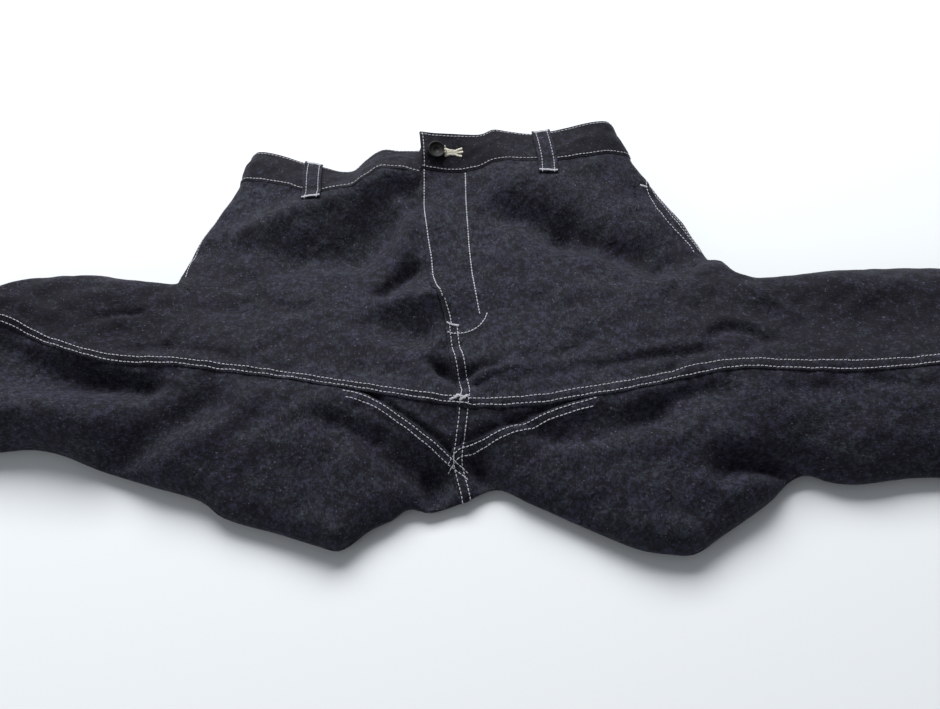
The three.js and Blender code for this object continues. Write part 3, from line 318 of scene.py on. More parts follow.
def foldLift(x, y):
    total = np.zeros_like(x)
    for fromX, fromY, toX, toY, lift, left, right in zip(*folds.values()):
        dx, dy = toX - fromX, toY - fromY
        length = math.hypot(dx, dy)
        along = ((x - fromX) * dx + (y - fromY) * dy) / length
        across = ((x - fromX) * dy - (y - fromY) * dx) / length
        past = np.maximum(np.maximum(-along, along - length), 0)
        spread = np.where(across > 0, right, left)
        total += lift * bell(across, spread) * bell(past, (left + right) / 2)
    return total


# Distance of each point from a path, with the share of the path's length at the nearest place
def awayFrom(path, x, y):
    a, b = path[:-1], path[1:]
    d = b - a
    length = np.hypot(d[:, 0], d[:, 1])
    starts = np.r_[0, np.cumsum(length)]
    best, share = np.full(len(x), 1e9), np.zeros(len(x))
    for k in range(len(a)):
        t = np.clip(((x - a[k, 0]) * d[k, 0] + (y - a[k, 1]) * d[k, 1]) / length[k] ** 2, 0, 1)
        away = np.hypot(a[k, 0] + d[k, 0] * t - x, a[k, 1] + d[k, 1] * t - y)
        nearer = away < best
        best[nearer] = away[nearer]
        share[nearer] = ((starts[k] + length[k] * t) / starts[-1])[nearer]
    return best, share


def creaseLift(x, y):
    total = np.zeros_like(x)
    t = np.linspace(0, 1, 9)[:, None]
    for fromX, fromY, midX, midY, toX, toY, lift, wide in zip(*creases.values()):
        start, middle, end = np.array([fromX, fromY]), np.array([midX, midY]), np.array([toX, toY])
        bend = 2 * middle - (start + end) / 2
        path = start * (1 - t) ** 2 + bend * 2 * t * (1 - t) + end * t**2
        low, high = path.min(0) - 3 * wide, path.max(0) + 3 * wide
        close = np.flatnonzero((x > low[0]) & (x < high[0]) & (y > low[1]) & (y < high[1]))
        if len(close):
            away, share = awayFrom(path, x[close], y[close])
            fade = np.sin(np.pi * (0.12 + 0.76 * share)) ** 0.7  # dies out towards both ends
            total[close] += lift * bell(away, wide) * fade
    return total * garment["creaseDepth"]


# A slight unevenness of the laid cloth, from a few waves of fixed directions
rippleDraw = np.random.default_rng(garment["seed"])
rippleWaves = [
    (amount * rippleDraw.uniform(0.5, 1), 2 * math.pi / (size * rippleDraw.uniform(0.7, 1.4)),
     rippleDraw.uniform(0, math.pi), rippleDraw.uniform(0, 2 * math.pi))
    for amount, size, count in ((0.5, 70, 5), (0.28, 34, 6), (0.12, 17, 7))
    for _ in range(count)]


def rippleAt(x, y):
    total = np.zeros_like(x)
    for amount, rate, angle, phase in rippleWaves:
        total += amount * np.sin(rate * (x * math.cos(angle) + y * math.sin(angle)) + phase)
    return total * garment["ripple"]


def outlineOf(table, step):
    x, y = table["x"], table["y"]
    walked = np.r_[0, np.cumsum(np.hypot(np.diff(x), np.diff(y)))]
    s = np.linspace(0, walked[-1], int(walked[-1] / step) + 2)
    return np.stack([curve(walked, table[key])(s) for key in ("x", "y", "edge", "round")], 1)


def segmentsOf(points, turn):
    return np.concatenate([points[:-1], points[1:], np.full((len(points) - 1, 1), turn)], 1)


nearX = np.linspace(-reach, reach, 283)
nearLine = np.stack([nearX] + [column(near, key)(nearX) for key in ("y", "edge", "round")], 1)
segments = np.concatenate([segmentsOf(nearLine, 1)] + [
    segmentsOf(outlineOf(table[side], 5), -side) for table in (hipOf, legOf) for side in (-1, 1)])


# Nearest place on the folded outline: how far in each point lies, the way out, and the fold's sizes there
def edgeAt(x, y):
    found = np.zeros((5, len(x)))
    ax, ay, edgeA, roundA, bx, by, edgeB, roundB, turn = segments.T
    dx, dy = bx - ax, by - ay
    length = np.hypot(dx, dy)
    for start in range(0, len(x), 4000):
        part = slice(start, start + 4000)
        px, py = x[part, None], y[part, None]
        t = np.clip(((px - ax) * dx + (py - ay) * dy) / length**2, 0, 1)
        outX, outY = ax + dx * t - px, ay + dy * t - py
        inside = np.hypot(outX, outY)
        k = inside.argmin(1)
        n = np.arange(len(k))
        t, outX, outY, inside = t[n, k], outX[n, k], outY[n, k], inside[n, k]
        beyond = turn[k] * (outX * dy[k] - outY * dx[k]) < 0
        atEdge = inside < np.where(beyond, 1, 0.05)
        inside = np.where(atEdge, 0, inside)
        away = np.maximum(inside, 1e-6)
        found[:, part] = (
            inside,
            np.where(atEdge, turn[k] * dy[k] / length[k], outX / away),
            np.where(atEdge, -turn[k] * dx[k] / length[k], outY / away),
            mix(edgeA[k], edgeB[k], t),
            mix(roundA[k], roundB[k], t) * garment["roll"])
    return found


def dressedHeight(x, y):
    settled = 1 - garment["settle"] * bell(y - nearY(x), garment["settleReach"])
    return heightAt(x, y) * settled + foldLift(x, y) + creaseLift(x, y) + rippleAt(x, y)


# A point on the upper side of the laid-out garment, with the way its face looks
def topPoint(x, y, lift=0):
    shape = np.shape(x)
    x, y = np.ravel(x).astype(float), np.ravel(y).astype(float)
    inside, outX, outY, edge, rounding = edgeAt(x, y)
    share = inside / rounding
    bulge, flat = quarter(share), 1 - np.minimum(share, 1)
    high = dressedHeight(x, y)
    slopeX = (dressedHeight(x + 1, y) - dressedHeight(x - 1, y)) / 2
    slopeY = (dressedHeight(x, y + 1) - dressedHeight(x, y - 1)) / 2
    face = unit(np.stack([outX * flat - bulge * slopeX, outY * flat - bulge * slopeY, bulge], 1))
    hem = garment["hemLift"] * smooth(np.abs(x), reach - garment["hemTurn"] - 2, reach - garment["hemTurn"])
    raised = np.ravel(np.broadcast_to(lift, shape)) + hem * bulge
    place = np.stack([x, y, edge + (high - edge) * bulge], 1) + face * raised[:, None]
    return place.reshape(shape + (3,)), face.reshape(shape + (3,))


# A point on the underside, flat but for the roll up to the fold. Towards the waist it rises onto the loops.
def underPoint(x, y):
    shape = np.shape(x)
    x, y = np.ravel(x).astype(float), np.ravel(y).astype(float)
    inside, outX, outY, edge, _ = edgeAt(x, y)
    share = inside / edge
    bulge, flat = quarter(share), 1 - np.minimum(share, 1)
    onSeat = (x > backWaist["x"][0]) & (x < backWaist["x"][-1])
    rise = np.where(onSeat, garment["backBandRise"] * (1 - smooth(backSeamY(x) - y, 13.5, 27)), 0)
    face = unit(np.stack([outX * flat, outY * flat, -np.maximum(bulge, 1e-4)], 1))
    return np.stack([x, y, mix(edge, rise, bulge)], 1).reshape(shape + (3,)), face.reshape(shape + (3,))


def pieceName(kind, side):
    return kind + sideNames[side].title()


# A closed wall behind a grid of points, with rounded rims. The leg share steers the denim's yarn direction.
# The second share is painted shade that darkens the denim's colour.
def wallMesh(name, outer, face, thick, material, legShare=0.0, paintedShadeShare=0.0):
    rows, cols = outer.shape[:2]
    count = rows * cols
    inner = outer - face * np.broadcast_to(thick, (rows, cols))[..., None]
    grid = np.arange(count).reshape(rows, cols)
    border = np.concatenate([grid[0, :-1], grid[:-1, -1], grid[-1, :0:-1], grid[:0:-1, 0]])
    i, j = np.unravel_index(border, (rows, cols))
    back = outer[np.clip(i, 1, rows - 2), np.clip(j, 1, cols - 2)]
    flatOuter, flatInner = outer.reshape(-1, 3), inner.reshape(-1, 3)
    depth = np.linalg.norm(flatOuter[border] - flatInner[border], axis=1, keepdims=True)
    way = flatOuter[border] - back
    along = unit(np.roll(flatOuter[border], -1, 0) - np.roll(flatOuter[border], 1, 0) + 1e-9)
    normal = face.reshape(-1, 3)[border]
    way = way - along * (way * along).sum(1, keepdims=True) - normal * (way * normal).sum(1, keepdims=True)
    ring = (flatOuter[border] + flatInner[border]) / 2 + unit(way + 1e-9) * depth * 0.4
    places = np.concatenate([flatOuter, flatInner, ring])
    a, b, c, d = grid[:-1, :-1].ravel(), grid[1:, :-1].ravel(), grid[1:, 1:].ravel(), grid[:-1, 1:].ravel()
    ringAt = 2 * count + np.arange(len(border))
    after, ringAfter = np.roll(border, -1), np.roll(ringAt, -1)
    faces = np.concatenate([
        np.stack([a, b, c, d], 1),
        np.stack([a, d, c, b], 1) + count,
        np.stack([border, after, ringAfter, ringAt], 1),
        np.stack([ringAt, ringAfter, after + count, border + count], 1)])
    corners = places[faces]
    middle = corners.mean(1) - places.mean(0)
    cross = np.cross(corners[:, 1] - corners[:, 0], corners[:, 2] - corners[:, 0])
    if (middle * cross).sum() < 0:
        faces = faces[:, ::-1]
    mesh = bpy.data.meshes.new(name)
    mesh.from_pydata(toFrame(places).tolist(), [], faces.tolist())
    mesh.polygons.foreach_set("use_smooth", [True] * len(faces))
    # The second attribute carries painted shade into the denim's colour
    for key, values in (("leg", legShare), ("paintedShade", paintedShadeShare)):
        share = np.broadcast_to(values, (rows, cols)).ravel()
        shares = np.concatenate([share, share, share[border]]).astype(np.float32)
        mesh.attributes.new(key, "FLOAT", "POINT").data.foreach_set("value", shares)
    mesh.materials.append(material)
    mesh.validate()
    piece = bpy.data.objects.new(name, mesh)
    bpy.context.collection.objects.link(piece)
    return piece


# How far a piece stands up beside a seam where it laps over its neighbour, by the distance from its edge
def felled(away, along, width=garment["fellWidth"], height=garment["lap"]):
    strip = 1 - smooth(away, width - 1.5, width + 3)
    rows = bell(away - garment["firstRow"], garment["rowWide"])
    rows += bell(away - width + garment["lastRow"], garment["rowWide"])
    wave = np.sin(along * 0.74 + 1.4 * np.sin(along * 0.13)) * np.sin(along * 0.23 + 0.7)
    soft = 1 - smooth(away, width, width * 2.2)
    sunk = garment["rowSink"] * rows + garment["edgeSink"] * bell(away, 0.8)
    return height * strip - sunk + garment["pucker"] * wave * soft


def flyLift(x, y):
    return garment["flyRaise"] * smooth(y, 0, 14) * (1 - smooth(x - centreX(y), 18, 56))


# How far each kind of panel stands over the plain form, by place
def frontRaise(side, x, y):
    raised = felled(y - inseamY(x), x)
    if side > 0:
        away = x - centreX(y)
        low = 1 - smooth(y, 60, 90)
        onFly = flyLift(x, y) - 0.3 * bell(away - garment["firstRow"], 1.2)
        raised += np.maximum(felled(away, y) * low, onFly)
    return raised


def seatRaise(side, x, y):
    if side < 0:
        return 0 * x
    return felled(x - centreX(y), y) * (1 - smooth(y, 8, 14))


def backRaise(side, x, y):
    raised = seatRaise(side, x, y)
    inGusset = 1 - smooth(np.abs(x), abs(gussetTip[side]) - 10, abs(gussetTip[side]))
    return raised + felled(gussetY[side](x) - y, x) * inGusset


# Distances from a seam along lines of given lengths, close together beside the seam
def fromSeam(length, count):
    first = np.minimum(14, 0.4 * length)[:, None] * np.linspace(0, 1, 13)
    rest = first[:, -1:] + (length[:, None] - first[:, -1:]) * np.linspace(0, 1, count)[1:] ** 1.3
    return np.concatenate([first, rest], 1)


def along(start, end, share):
    return start[:, None, :] + (end - start)[:, None, :] * share[..., None]


seamHalf = garment["seamGap"] / 2
groinOf = {side: (legOf[side]["x"][0], legOf[side]["y"][0]) for side in (-1, 1)}
cornerOf = {side: waistOf[side]["x"][-1 if side > 0 else 0] for side in (-1, 1)}
cornerY = {side: waistOf[side]["seamY"][-1 if side > 0 else 0] for side in (-1, 1)}
turnIn = 20  # the panel lines turn towards the hip's edge this far in from it


backMiddle = backLoops["belt_loop_back_centre"]


# The fine lines of a hip: where each ends on the waist or side, and where it turns before that
def lineEnds(side, back=False):
    corner, top = cornerOf[side], cornerY[side]
    wide = abs(corner - waistMiddle)
    away = np.r_[np.linspace(wide, 15, 60), 12, 9, 6.5, 4.5, 3, 1.8, 0.9, 0.3]
    share = 1 - away / wide
    x = corner - side * away
    inX = corner - side * np.hypot(away, turnIn)
    if back:
        x = mix(backMiddle, corner, share)
        inX = mix(backMiddle, corner, np.abs(inX - waistMiddle) / wide)
    y = (backSeamY(x) if back else column(waistOf[side], "seamY")(x)) - seamHalf
    onWaist = np.stack([x, y, inX, y - turnIn], 1)
    down = np.linspace(1, top - groinOf[side][1], 46)
    y = top - down
    mouth = pocketOf[side]["y"]
    opening = smooth(y, mouth[0] - 3, mouth[0] + 12) * (1 - smooth(y, mouth[-1], mouth[-1] + 3))
    inset = pocketInset[side](y) * opening
    x = hipX[side](y) - (0 if back else side * inset)
    onHip = hipX[side](y)
    inY = top - np.hypot(down, turnIn) - 0.9 * turnIn * (down / down[-1]) ** 2
    inX = mix(onHip, hipX[side](inY.clip(groinOf[side][1])), smooth(down, 0, 40))
    onSide = np.stack([x, y, inX - side * (turnIn + (0 if back else inset)), inY], 1)
    return np.concatenate([onWaist, onSide])


# How far along the inseam each of them starts, by the way walked past the front's ends
def lineShares(side):
    ends = lineEnds(side)[:, :2]
    walked = np.r_[0, np.cumsum(np.hypot(*np.diff(ends, axis=0).T) + 0.5)]
    return walked / walked[-1]


def legStations(side):
    groin = abs(groinOf[side][0])
    turn = reach - garment["hemTurn"]
    onLeg, onHem = np.linspace(groin, turn - 3, 148)[1:], np.linspace(turn, reach, 9)[1:]
    return side * np.r_[onLeg, turn - 2, turn - 1, turn, onHem]


def outseamIn(side, x):
    half = (farY[side](x) - nearY(x)) / 2
    return mix(9, half, smooth(np.abs(x - groinOf[side][0]), 0, 90))


def bowed(y, share):
    fade = np.where(share > 0, 1 - smooth(y, 192, 222), 1)
    bow = centreX(y) - mix(middleX, waistMiddle, y / waistHeight)
    return bow * (1 - np.minimum(share, 1)) ** 2 * fade


def seatBow(x, y):
    return (centreX(np.minimum(y, 0)) - middleX) * np.maximum(0, 1 - np.abs(x - middleX) / 60) ** 2


rollAngles = np.linspace(np.pi / 2, 0, 15)[1:]


def frontPanel(side, material):
    groin = groinOf[side][0]
    lines, share = lineEnds(side), lineShares(side)
    startX = mix(middleX, groin, share)
    start = np.stack([startX, inseamY(startX) + seamHalf], 1)
    inner = lines[:, 2:]
    length = np.hypot(*(inner - start).T)
    rise = along(start, inner, fromSeam(length, 72) / length[:, None])
    even = 1 - (1 - np.linspace(0, 1, 33)[1:]) ** 1.6
    bunched = np.r_[np.cos(rollAngles) * 0.985, np.linspace(0.985, 1, 19)[1:]]
    toGroin = smooth(np.arange(len(lines)), len(lines) - 12, len(lines) - 1)[:, None]
    turn = along(inner, lines[:, :2], mix(even, bunched, toGroin))
    plan = np.concatenate([rise, turn], 1)
    underFly = 0 if side > 0 else garment["tuck"]
    plan[..., 0] += bowed(np.maximum(plan[..., 1], 0), share[:, None] * 1.6)
    plan[..., 0] += (underFly + side * seamHalf) * np.maximum(0, 1 - share * 8)[:, None]
    hipPlaces, hipFaces = topPoint(plan[..., 0], plan[..., 1], frontRaise(side, plan[..., 0], plan[..., 1]))

    x = legStations(side)
    fold, low = farY[side](x), inseamY(x) + seamHalf
    edge, rounding = edgeAt(x, fold - 0.01)[3:]
    y = np.concatenate([
        low[:, None] + fromSeam(fold - rounding - low, 72),
        fold[:, None] - rounding[:, None] * (1 - np.cos(rollAngles))], 1)
    lean = (plan[-1, :y.shape[1], 0] - groin) * (1 - smooth(np.abs(x - groin), 0, 70))[:, None]
    across = x[:, None] + lean
    top, topFace = topPoint(across, y, frontRaise(side, across, y))
    depth = outseamIn(side, x) - seamHalf
    y = np.concatenate([
        fold[:, None] - edge[:, None] * (1 - np.cos(rollAngles[::-2][1:])),
        fold[:, None] - mix((edge + 0.5)[:, None], depth[:, None], np.linspace(0, 1, 12))], 1)
    under, underFace = underPoint(np.broadcast_to(x[:, None], y.shape), y)
    outer = np.concatenate([hipPlaces, np.concatenate([top, under], 1)])
    face = np.concatenate([hipFaces, np.concatenate([topFace, underFace], 1)])
    leg = smooth(np.abs(outer[..., 0]), 60, 260) * (1 - smooth(outer[..., 1], 120, 190))
    # Painted shade: the far half of each leg is coloured darker, at 0.6 of the band's darkening
    return wallMesh(pieceName("frontPanel", side), outer, face, garment["cloth"], material, leg, leg * 0.6)


def backPanel(side, material):
    groin = groinOf[side][0]
    lines, share = lineEnds(side, back=True), lineShares(side)
    legX = legStations(side)
    x = np.r_[mix(middleX, groin, share), legX]
    end = np.r_[lines[:, :2], np.stack([legX, farY[side](legX) - outseamIn(side, legX) - seamHalf], 1)]
    inner = np.r_[lines[:, 2:], np.stack([legX, end[len(lines):, 1] - 15], 1)]
    inGusset = np.abs(x) < abs(gussetTip[side])
    tuckedY = inseamY(x) + garment["tuck"] * smooth(np.abs(x), 100, 112)
    start = np.where(inGusset, gussetY[side](x), tuckedY) - seamHalf
    under = -garment["tuck"] if side < 0 else 0
    fade = np.maximum(0, 1 - np.abs(x - middleX) / 50)
    shift = (side * seamHalf - under) * fade
    foldX = x + shift + seatBow(x, nearY(x))
    fold = nearY(foldX)
    edge, rounding = edgeAt(foldX, fold + 0.01)[3:]
    roll = np.minimum(rounding, (start - fold) * 0.7)
    y = np.concatenate([
        start[:, None] - fromSeam(start - fold - roll, 30),
        fold[:, None] + roll[:, None] * (1 - np.cos(rollAngles))], 1)
    across = x[:, None] + shift[:, None] + seatBow(x[:, None], y)
    top, topFace = topPoint(across, y, backRaise(side, across, y))
    foldEnd = np.stack([foldX, fold + edge], 1)
    y = fold[:, None] + edge[:, None] * (1 - np.cos(rollAngles[::-2][1:]))
    around = np.stack([np.broadcast_to(foldX[:, None], y.shape), y], 2)
    flat = along(foldEnd, inner, np.broadcast_to(np.linspace(0, 1, 16), (len(x), 16)))
    last = along(inner, end, np.broadcast_to(1 - (1 - np.linspace(0, 1, 11)[1:]) ** 1.5, (len(x), 10)))
    plan = np.concatenate([around, flat, last], 1)
    low, lowFace = underPoint(plan[..., 0], plan[..., 1])
    outer = np.concatenate([top, low], 1)
    face = np.concatenate([topFace, lowFace], 1)
    leg = smooth(np.abs(outer[..., 0]), 60, 260)
    return wallMesh(pieceName("backPanel", side), outer, face, garment["cloth"], material, leg)


def gusset(side, material):
    tip = gussetTip[side]
    x = np.linspace(middleX, tip - side * 1.5, 52)
    high = inseamY(x) - seamHalf + garment["tuck"] * 0.8
    low = gussetY[side](x) + seamHalf - garment["tuck"] * 0.8
    y = mix(high[:, None], low[:, None], np.linspace(0, 1, 26))
    under = garment["tuck"] if side < 0 else 0
    shift = (side * seamHalf + under) * np.maximum(0, 1 - np.abs(x - middleX) / 50)
    across = x[:, None] + shift[:, None] + seatBow(x[:, None], y)
    dip = garment["gussetDip"] * bell(y - gussetY[side](x)[:, None] - 2, 4)
    outer, face = topPoint(across, y, seatRaise(side, across, y) - 0.35 - dip)
    return wallMesh(pieceName("gusset", side), outer, face, garment["cloth"] * 0.9, material, 0.5)


def pocketFacing(side, material):
    y = np.linspace(pocketOf[side]["y"][0] - 3, pocketOf[side]["y"][-1] + 3, 50)
    out = hipX[side](y)[:, None]
    edge = out - side * pocketInset[side](y)[:, None]
    share = np.r_[np.linspace(-9, 0, 8)[:-1], np.linspace(0, 1, 14)]  # below nothing, millimetres inwards
    x = np.where(share < 0, edge + side * share, mix(edge, out, share))
    behind = -garment["facingDrop"] * (1 - smooth(share, 0.1, 0.95))
    outer, face = topPoint(x, np.broadcast_to(y[:, None], x.shape), np.broadcast_to(behind, x.shape))
    return wallMesh(pieceName("pocketFacing", side), outer, face, garment["facingCloth"], material)


def bandPoint(side, x, share):
    seamY, topX, topY, topZ = (column(waistOf[side], key)(x) for key in ("seamY", "topX", "topY", "topZ"))
    over = flyLift(x, seamY) if side > 0 else -garment["flyRaise"] * smooth(x, -58, -43)
    away = np.abs(x - cornerOf[side])
    at = np.where(away < 0.01, hipX[side](seamY), x)
    seam, face = topPoint(at, seamY + seamHalf, garment["bandStep"] + over)
    edge = hipOf[side]["edge"][0]
    top = np.stack([topX, topY, mix(edge, topZ, quarter(away / garment["bandRound"])) + over], 1)
    bulge = np.sin(np.pi * share) * 1.2 + 0.35 * smooth(share, 0.02, 0.07) * (1 - smooth(share, 0.93, 0.98))
    place = seam[:, None] + (top - seam)[:, None] * share[..., None]
    face = np.broadcast_to(face[:, None], place.shape)
    return place + face * bulge[..., None], face


# The way a grid's faces look, on the same side as a first guess
def gridFaces(places, guess):
    cross = np.cross(np.gradient(places, axis=0), np.gradient(places, axis=1))
    cross = unit(cross + 1e-9)
    return np.where((cross * guess).sum(2, keepdims=True) < 0, -cross, cross)


def waistband(side, material):
    corner = cornerOf[side]
    frontEnd = waistOf[side]["x"][0 if side > 0 else -1]
    wide = abs(corner - frontEnd)
    share = np.r_[0, 0.015, 0.04, np.linspace(0.07, 0.93, 14), 0.96, 0.985, 1]
    away = np.r_[np.linspace(wide, 15, 86), 12, 9, 6.5, 4.5, 3, 1.8, 0.9, 0.3, 0]
    x = corner - side * away
    place, guess = bandPoint(side, x, np.broadcast_to(share, (len(x), len(share))))
    ripple = rippleAt(place[..., 0] * 1.7, place[..., 1] * 1.7 + 300) * 0.7
    place = place + guess * ripple[..., None] * np.sin(np.pi * share)[None, :, None]
    away = np.r_[0.8, 1.6, 2.5, 3.6, 5, 7, np.linspace(9, abs(corner - backMiddle), 40)]
    x = corner - side * away
    edge = hipOf[side]["edge"][0]
    topX = waistOf[side]["topX"][-1 if side > 0 else 0]
    slant = (topX - corner) * np.maximum(0, 1 - away / 120)
    seam, down = underPoint(x, backSeamY(x) + seamHalf)
    high = mix(edge, garment["backBandRise"], quarter(away / edge))
    top = np.stack([x + slant, backSeamY(x) + garment["bandHeight"] - 1, high], 1)
    back = seam[:, None] + (top - seam)[:, None] * share[:, None]
    places = np.concatenate([place, back])
    guesses = np.concatenate([guess, np.broadcast_to(down[:, None], back.shape)])
    faces = gridFaces(places, guesses)
    if side < 0:
        x = np.linspace(12, -34, 16)
        lapped, lappedFace = bandPoint(1, x, np.broadcast_to(share, (len(x), len(share))))
        lappedFace = gridFaces(lapped, lappedFace)
        places = np.concatenate([lapped - lappedFace * (garment["bandCloth"] + 0.7), places])
        faces = np.concatenate([lappedFace, faces])
    # Painted shade: the whole waistband is coloured darker
    return wallMesh(pieceName("waistband", side), places, faces, garment["bandCloth"], material, 1.0, 1.0)


def frontLoop(side, material):
    fromX, fromY, toX = frontLoops[sideNames[side]]
    u = np.linspace(-0.5, 0.5, 15)
    seamAt = column(waistOf[side], "seamY")
    below, above = np.linspace(0, 0.93, 16), np.linspace(0.07, 1.04, 34)
    x = fromX + u * garment["loopWidth"]
    x = np.broadcast_to(x, (len(below), len(u)))
    low, lowFace = topPoint(x, mix(fromY, seamAt(x), below[:, None]), np.full(x.shape, 0.4))
    wide = u * garment["loopWidth"]
    rows = [bandPoint(side, mix(fromX, toX, v * 0.2) + wide, np.full((len(u), 1), v)) for v in above]
    high = np.stack([place[:, 0] for place, face in rows])
    highFace = np.stack([face[:, 0] for place, face in rows])
    places, faces = np.concatenate([low, high]), np.concatenate([lowFace, highFace])
    length = np.linspace(0, 1, len(places))[:, None]
    arch = 1.3 * np.sin(np.pi * length) ** 0.6 + garment["loopOff"]
    ridge = 0.45 * bell(u, 0.13) + 0.3 * bell(np.abs(u) - 0.46, 0.05)
    places = places + faces * (arch + ridge)[..., None]
    return wallMesh(pieceName("beltLoopFront", side), places, faces, garment["loopCloth"], material)


def backLoop(name, middle, material):
    u, v = np.linspace(-0.5, 0.5, 9), np.linspace(backSeamY(middle) - 9, backSeamY(middle) + 37, 24)
    x, y = np.meshgrid(middle + u * garment["loopWidth"], v)
    face = np.broadcast_to([0.0, 0.0, -1.0], x.shape + (3,))
    title = "beltLoopBack" + name.split("_")[-1].title()
    return wallMesh(title, np.stack([x, y, 0 * x + 0.05], 2), face, garment["loopCloth"], material)


# One shader value, with arithmetic that makes Math nodes
class Value:
    def __init__(self, tree, socket):
        self.tree, self.socket = tree, socket

    def math(self, operation, *others):
        made = self.tree.nodes.new("ShaderNodeMath")
        made.operation = operation
        for slot, other in zip(made.inputs, (self, *others)):
            if isinstance(other, Value):
                self.tree.links.new(other.socket, slot)
            else:
                slot.default_value = other
        return Value(self.tree, made.outputs[0])

    def __add__(self, other):
        return self.math("ADD", other)

    def __mul__(self, other):
        return self.math("MULTIPLY", other)

    def __sub__(self, other):
        return self.math("SUBTRACT", other)

    def __rsub__(self, other):
        return self.math("MULTIPLY", -1).math("ADD", other)

    def over(self, low, high):
        return self.node("ShaderNodeMapRange", {"interpolation_type": "SMOOTHSTEP"}, {
            "Value": self, "From Min": low, "From Max": high})

    __radd__ = __add__
    __rmul__ = __mul__

    # Any other node: its settings, then its sockets' values or links
    def node(self, kind, settings=None, values=None, out=0):
        made = self.tree.nodes.new(kind)
        for key, value in (settings or {}).items():
            setattr(made, key, value)
        for key, value in (values or {}).items():
            slot = made.inputs[key]
            if isinstance(value, Value):
                self.tree.links.new(value.socket, slot)
            else:
                slot.default_value = value
        return Value(self.tree, made.outputs[out])


def newMaterial(name):
    material = bpy.data.materials.new(name)
    material.use_nodes = True
    return material, Value(material.node_tree, None), material.node_tree.nodes["Principled BSDF"]


denim = {
    "dark": (0.0050, 0.0051, 0.0088, 1),
    "bright": (0.0300, 0.0290, 0.0540, 1),
    "worn": (0.0300, 0.0340, 0.0475, 1),
    "nep": (0.16, 0.16, 0.20, 1),
    "roughness": 0.86,
    "sheen": 0.08,
    "grain": 900,  # yarn slubs per metre
    "fleck": 620,
    "crumple": 0.9,  # height of the small creases in the cloth, in millimetres
    "weave": 0.22,
}


def denimMaterial():
    material, tool, shader = newMaterial("denim")
    place = tool.node("ShaderNodeTexCoord", out=3)
    leg = tool.node("ShaderNodeAttribute", {"attribute_name": "leg"}, out=2)
    # Painted shade: this attribute darkens the waistband and the legs' far half
    paintedShade = tool.node("ShaderNodeAttribute", {"attribute_name": "paintedShade"}, out=2)

    def stretched(scale, start=place):
        return place.node("ShaderNodeVectorMath", {"operation": "MULTIPLY"}, {0: start, 1: scale})

    def noise(vector, scale, detail=2.0, rough=0.5, bend=0.0):
        values = {"Vector": vector, "Scale": scale, "Detail": detail, "Roughness": rough, "Distortion": bend}
        return place.node("ShaderNodeTexNoise", {"noise_dimensions": "3D"}, values)

    # A sharp ridge along the middle values of a noise, as small creases run over handled cloth
    def creased(scale, bend, sharp):
        away = (noise(place, scale, 2.0, 0.45, bend) - 0.5).math("ABSOLUTE")
        return (1 - away * sharp).math("MAXIMUM", 0).math("POWER", 1.6)

    # The yarns run along the leg, so their slubs are drawn out that way
    lengthwise = noise(stretched((0.3, 1, 1)), denim["grain"], 2.0, 0.6)
    upright = noise(stretched((1, 0.3, 1)), denim["grain"], 2.0, 0.6)
    slub = lengthwise * leg + upright * (1 - leg)
    fleck = noise(place, denim["fleck"], 3.0, 0.7)
    mottle = noise(place, 170, 3.0, 0.6)
    patch = noise(place, 58, 2.0, 0.5)
    cloud = noise(place, 13, 3.0, 0.5)
    tone = slub.over(0.40, 0.66) * 0.45 + fleck.over(0.46, 0.70) * 0.5 + (mottle - 0.5) * 2.1
    tone = tone + (noise(place, 330, 2.0, 0.6) - 0.5) * 1.8
    # Random patchy tone, then painted shade: darker where the shade attribute is set
    tone = tone + (patch - 0.5) * 0.6 + (cloud - 0.5) * 0.3 - paintedShade * 0.36
    worn = place.node("ShaderNodeMix", {"data_type": "RGBA"}, {
        0: noise(place, 42, 2.0, 0.6).over(0.42, 0.60), 6: denim["bright"], 7: denim["worn"]}, out=2)
    colour = place.node("ShaderNodeMix", {"data_type": "RGBA", "clamp_factor": True}, {
        0: tone, 6: denim["dark"], 7: worn}, out=2)
    neps = noise(place, 620, 1.0, 0.4).over(0.70, 0.82) * 0.6
    colour = place.node("ShaderNodeMix", {"data_type": "RGBA"}, {0: neps, 6: colour, 7: denim["nep"]}, out=2)
    material.node_tree.links.new(colour.socket, shader.inputs["Base Color"])
    handled = cloud.over(0.36, 0.62) * 0.7 + 0.3
    crumple = (creased(34, 0.6, 7) * 0.6 + creased(78, 0.5, 6) * 0.28 + patch * 0.8 + mottle * 0.35) * handled
    height = crumple * denim["crumple"] + (slub + fleck) * denim["weave"]
    bump = place.node("ShaderNodeBump", None, {"Strength": 1.0, "Distance": 0.001, "Height": height})
    material.node_tree.links.new(bump.socket, shader.inputs["Normal"])
    shader.inputs["Roughness"].default_value = denim["roughness"]
    shader.inputs["Specular IOR Level"].default_value = 0.2
    shader.inputs["Sheen Weight"].default_value = denim["sheen"]
    shader.inputs["Sheen Roughness"].default_value = 0.4
    shader.inputs["Sheen Tint"].default_value = (0.8, 0.8, 1, 1)
    return material


def plainMaterial(name, colour, roughness, specular=0.5):
    material, _, shader = newMaterial(name)
    shader.inputs["Base Color"].default_value = (*colour, 1)
    shader.inputs["Roughness"].default_value = roughness
    shader.inputs["Specular IOR Level"].default_value = specular
    return material


denimCloth = denimMaterial()
threadWhite = plainMaterial("thread", (0.47, 0.48, 0.52), 0.85, 0.15)
threadCream = plainMaterial("holeThread", (0.70, 0.67, 0.56), 0.8, 0.2)
buttonBlack = plainMaterial("horn", (0.0022, 0.0022, 0.0026), 0.55, 0.22)
print("materials ready")

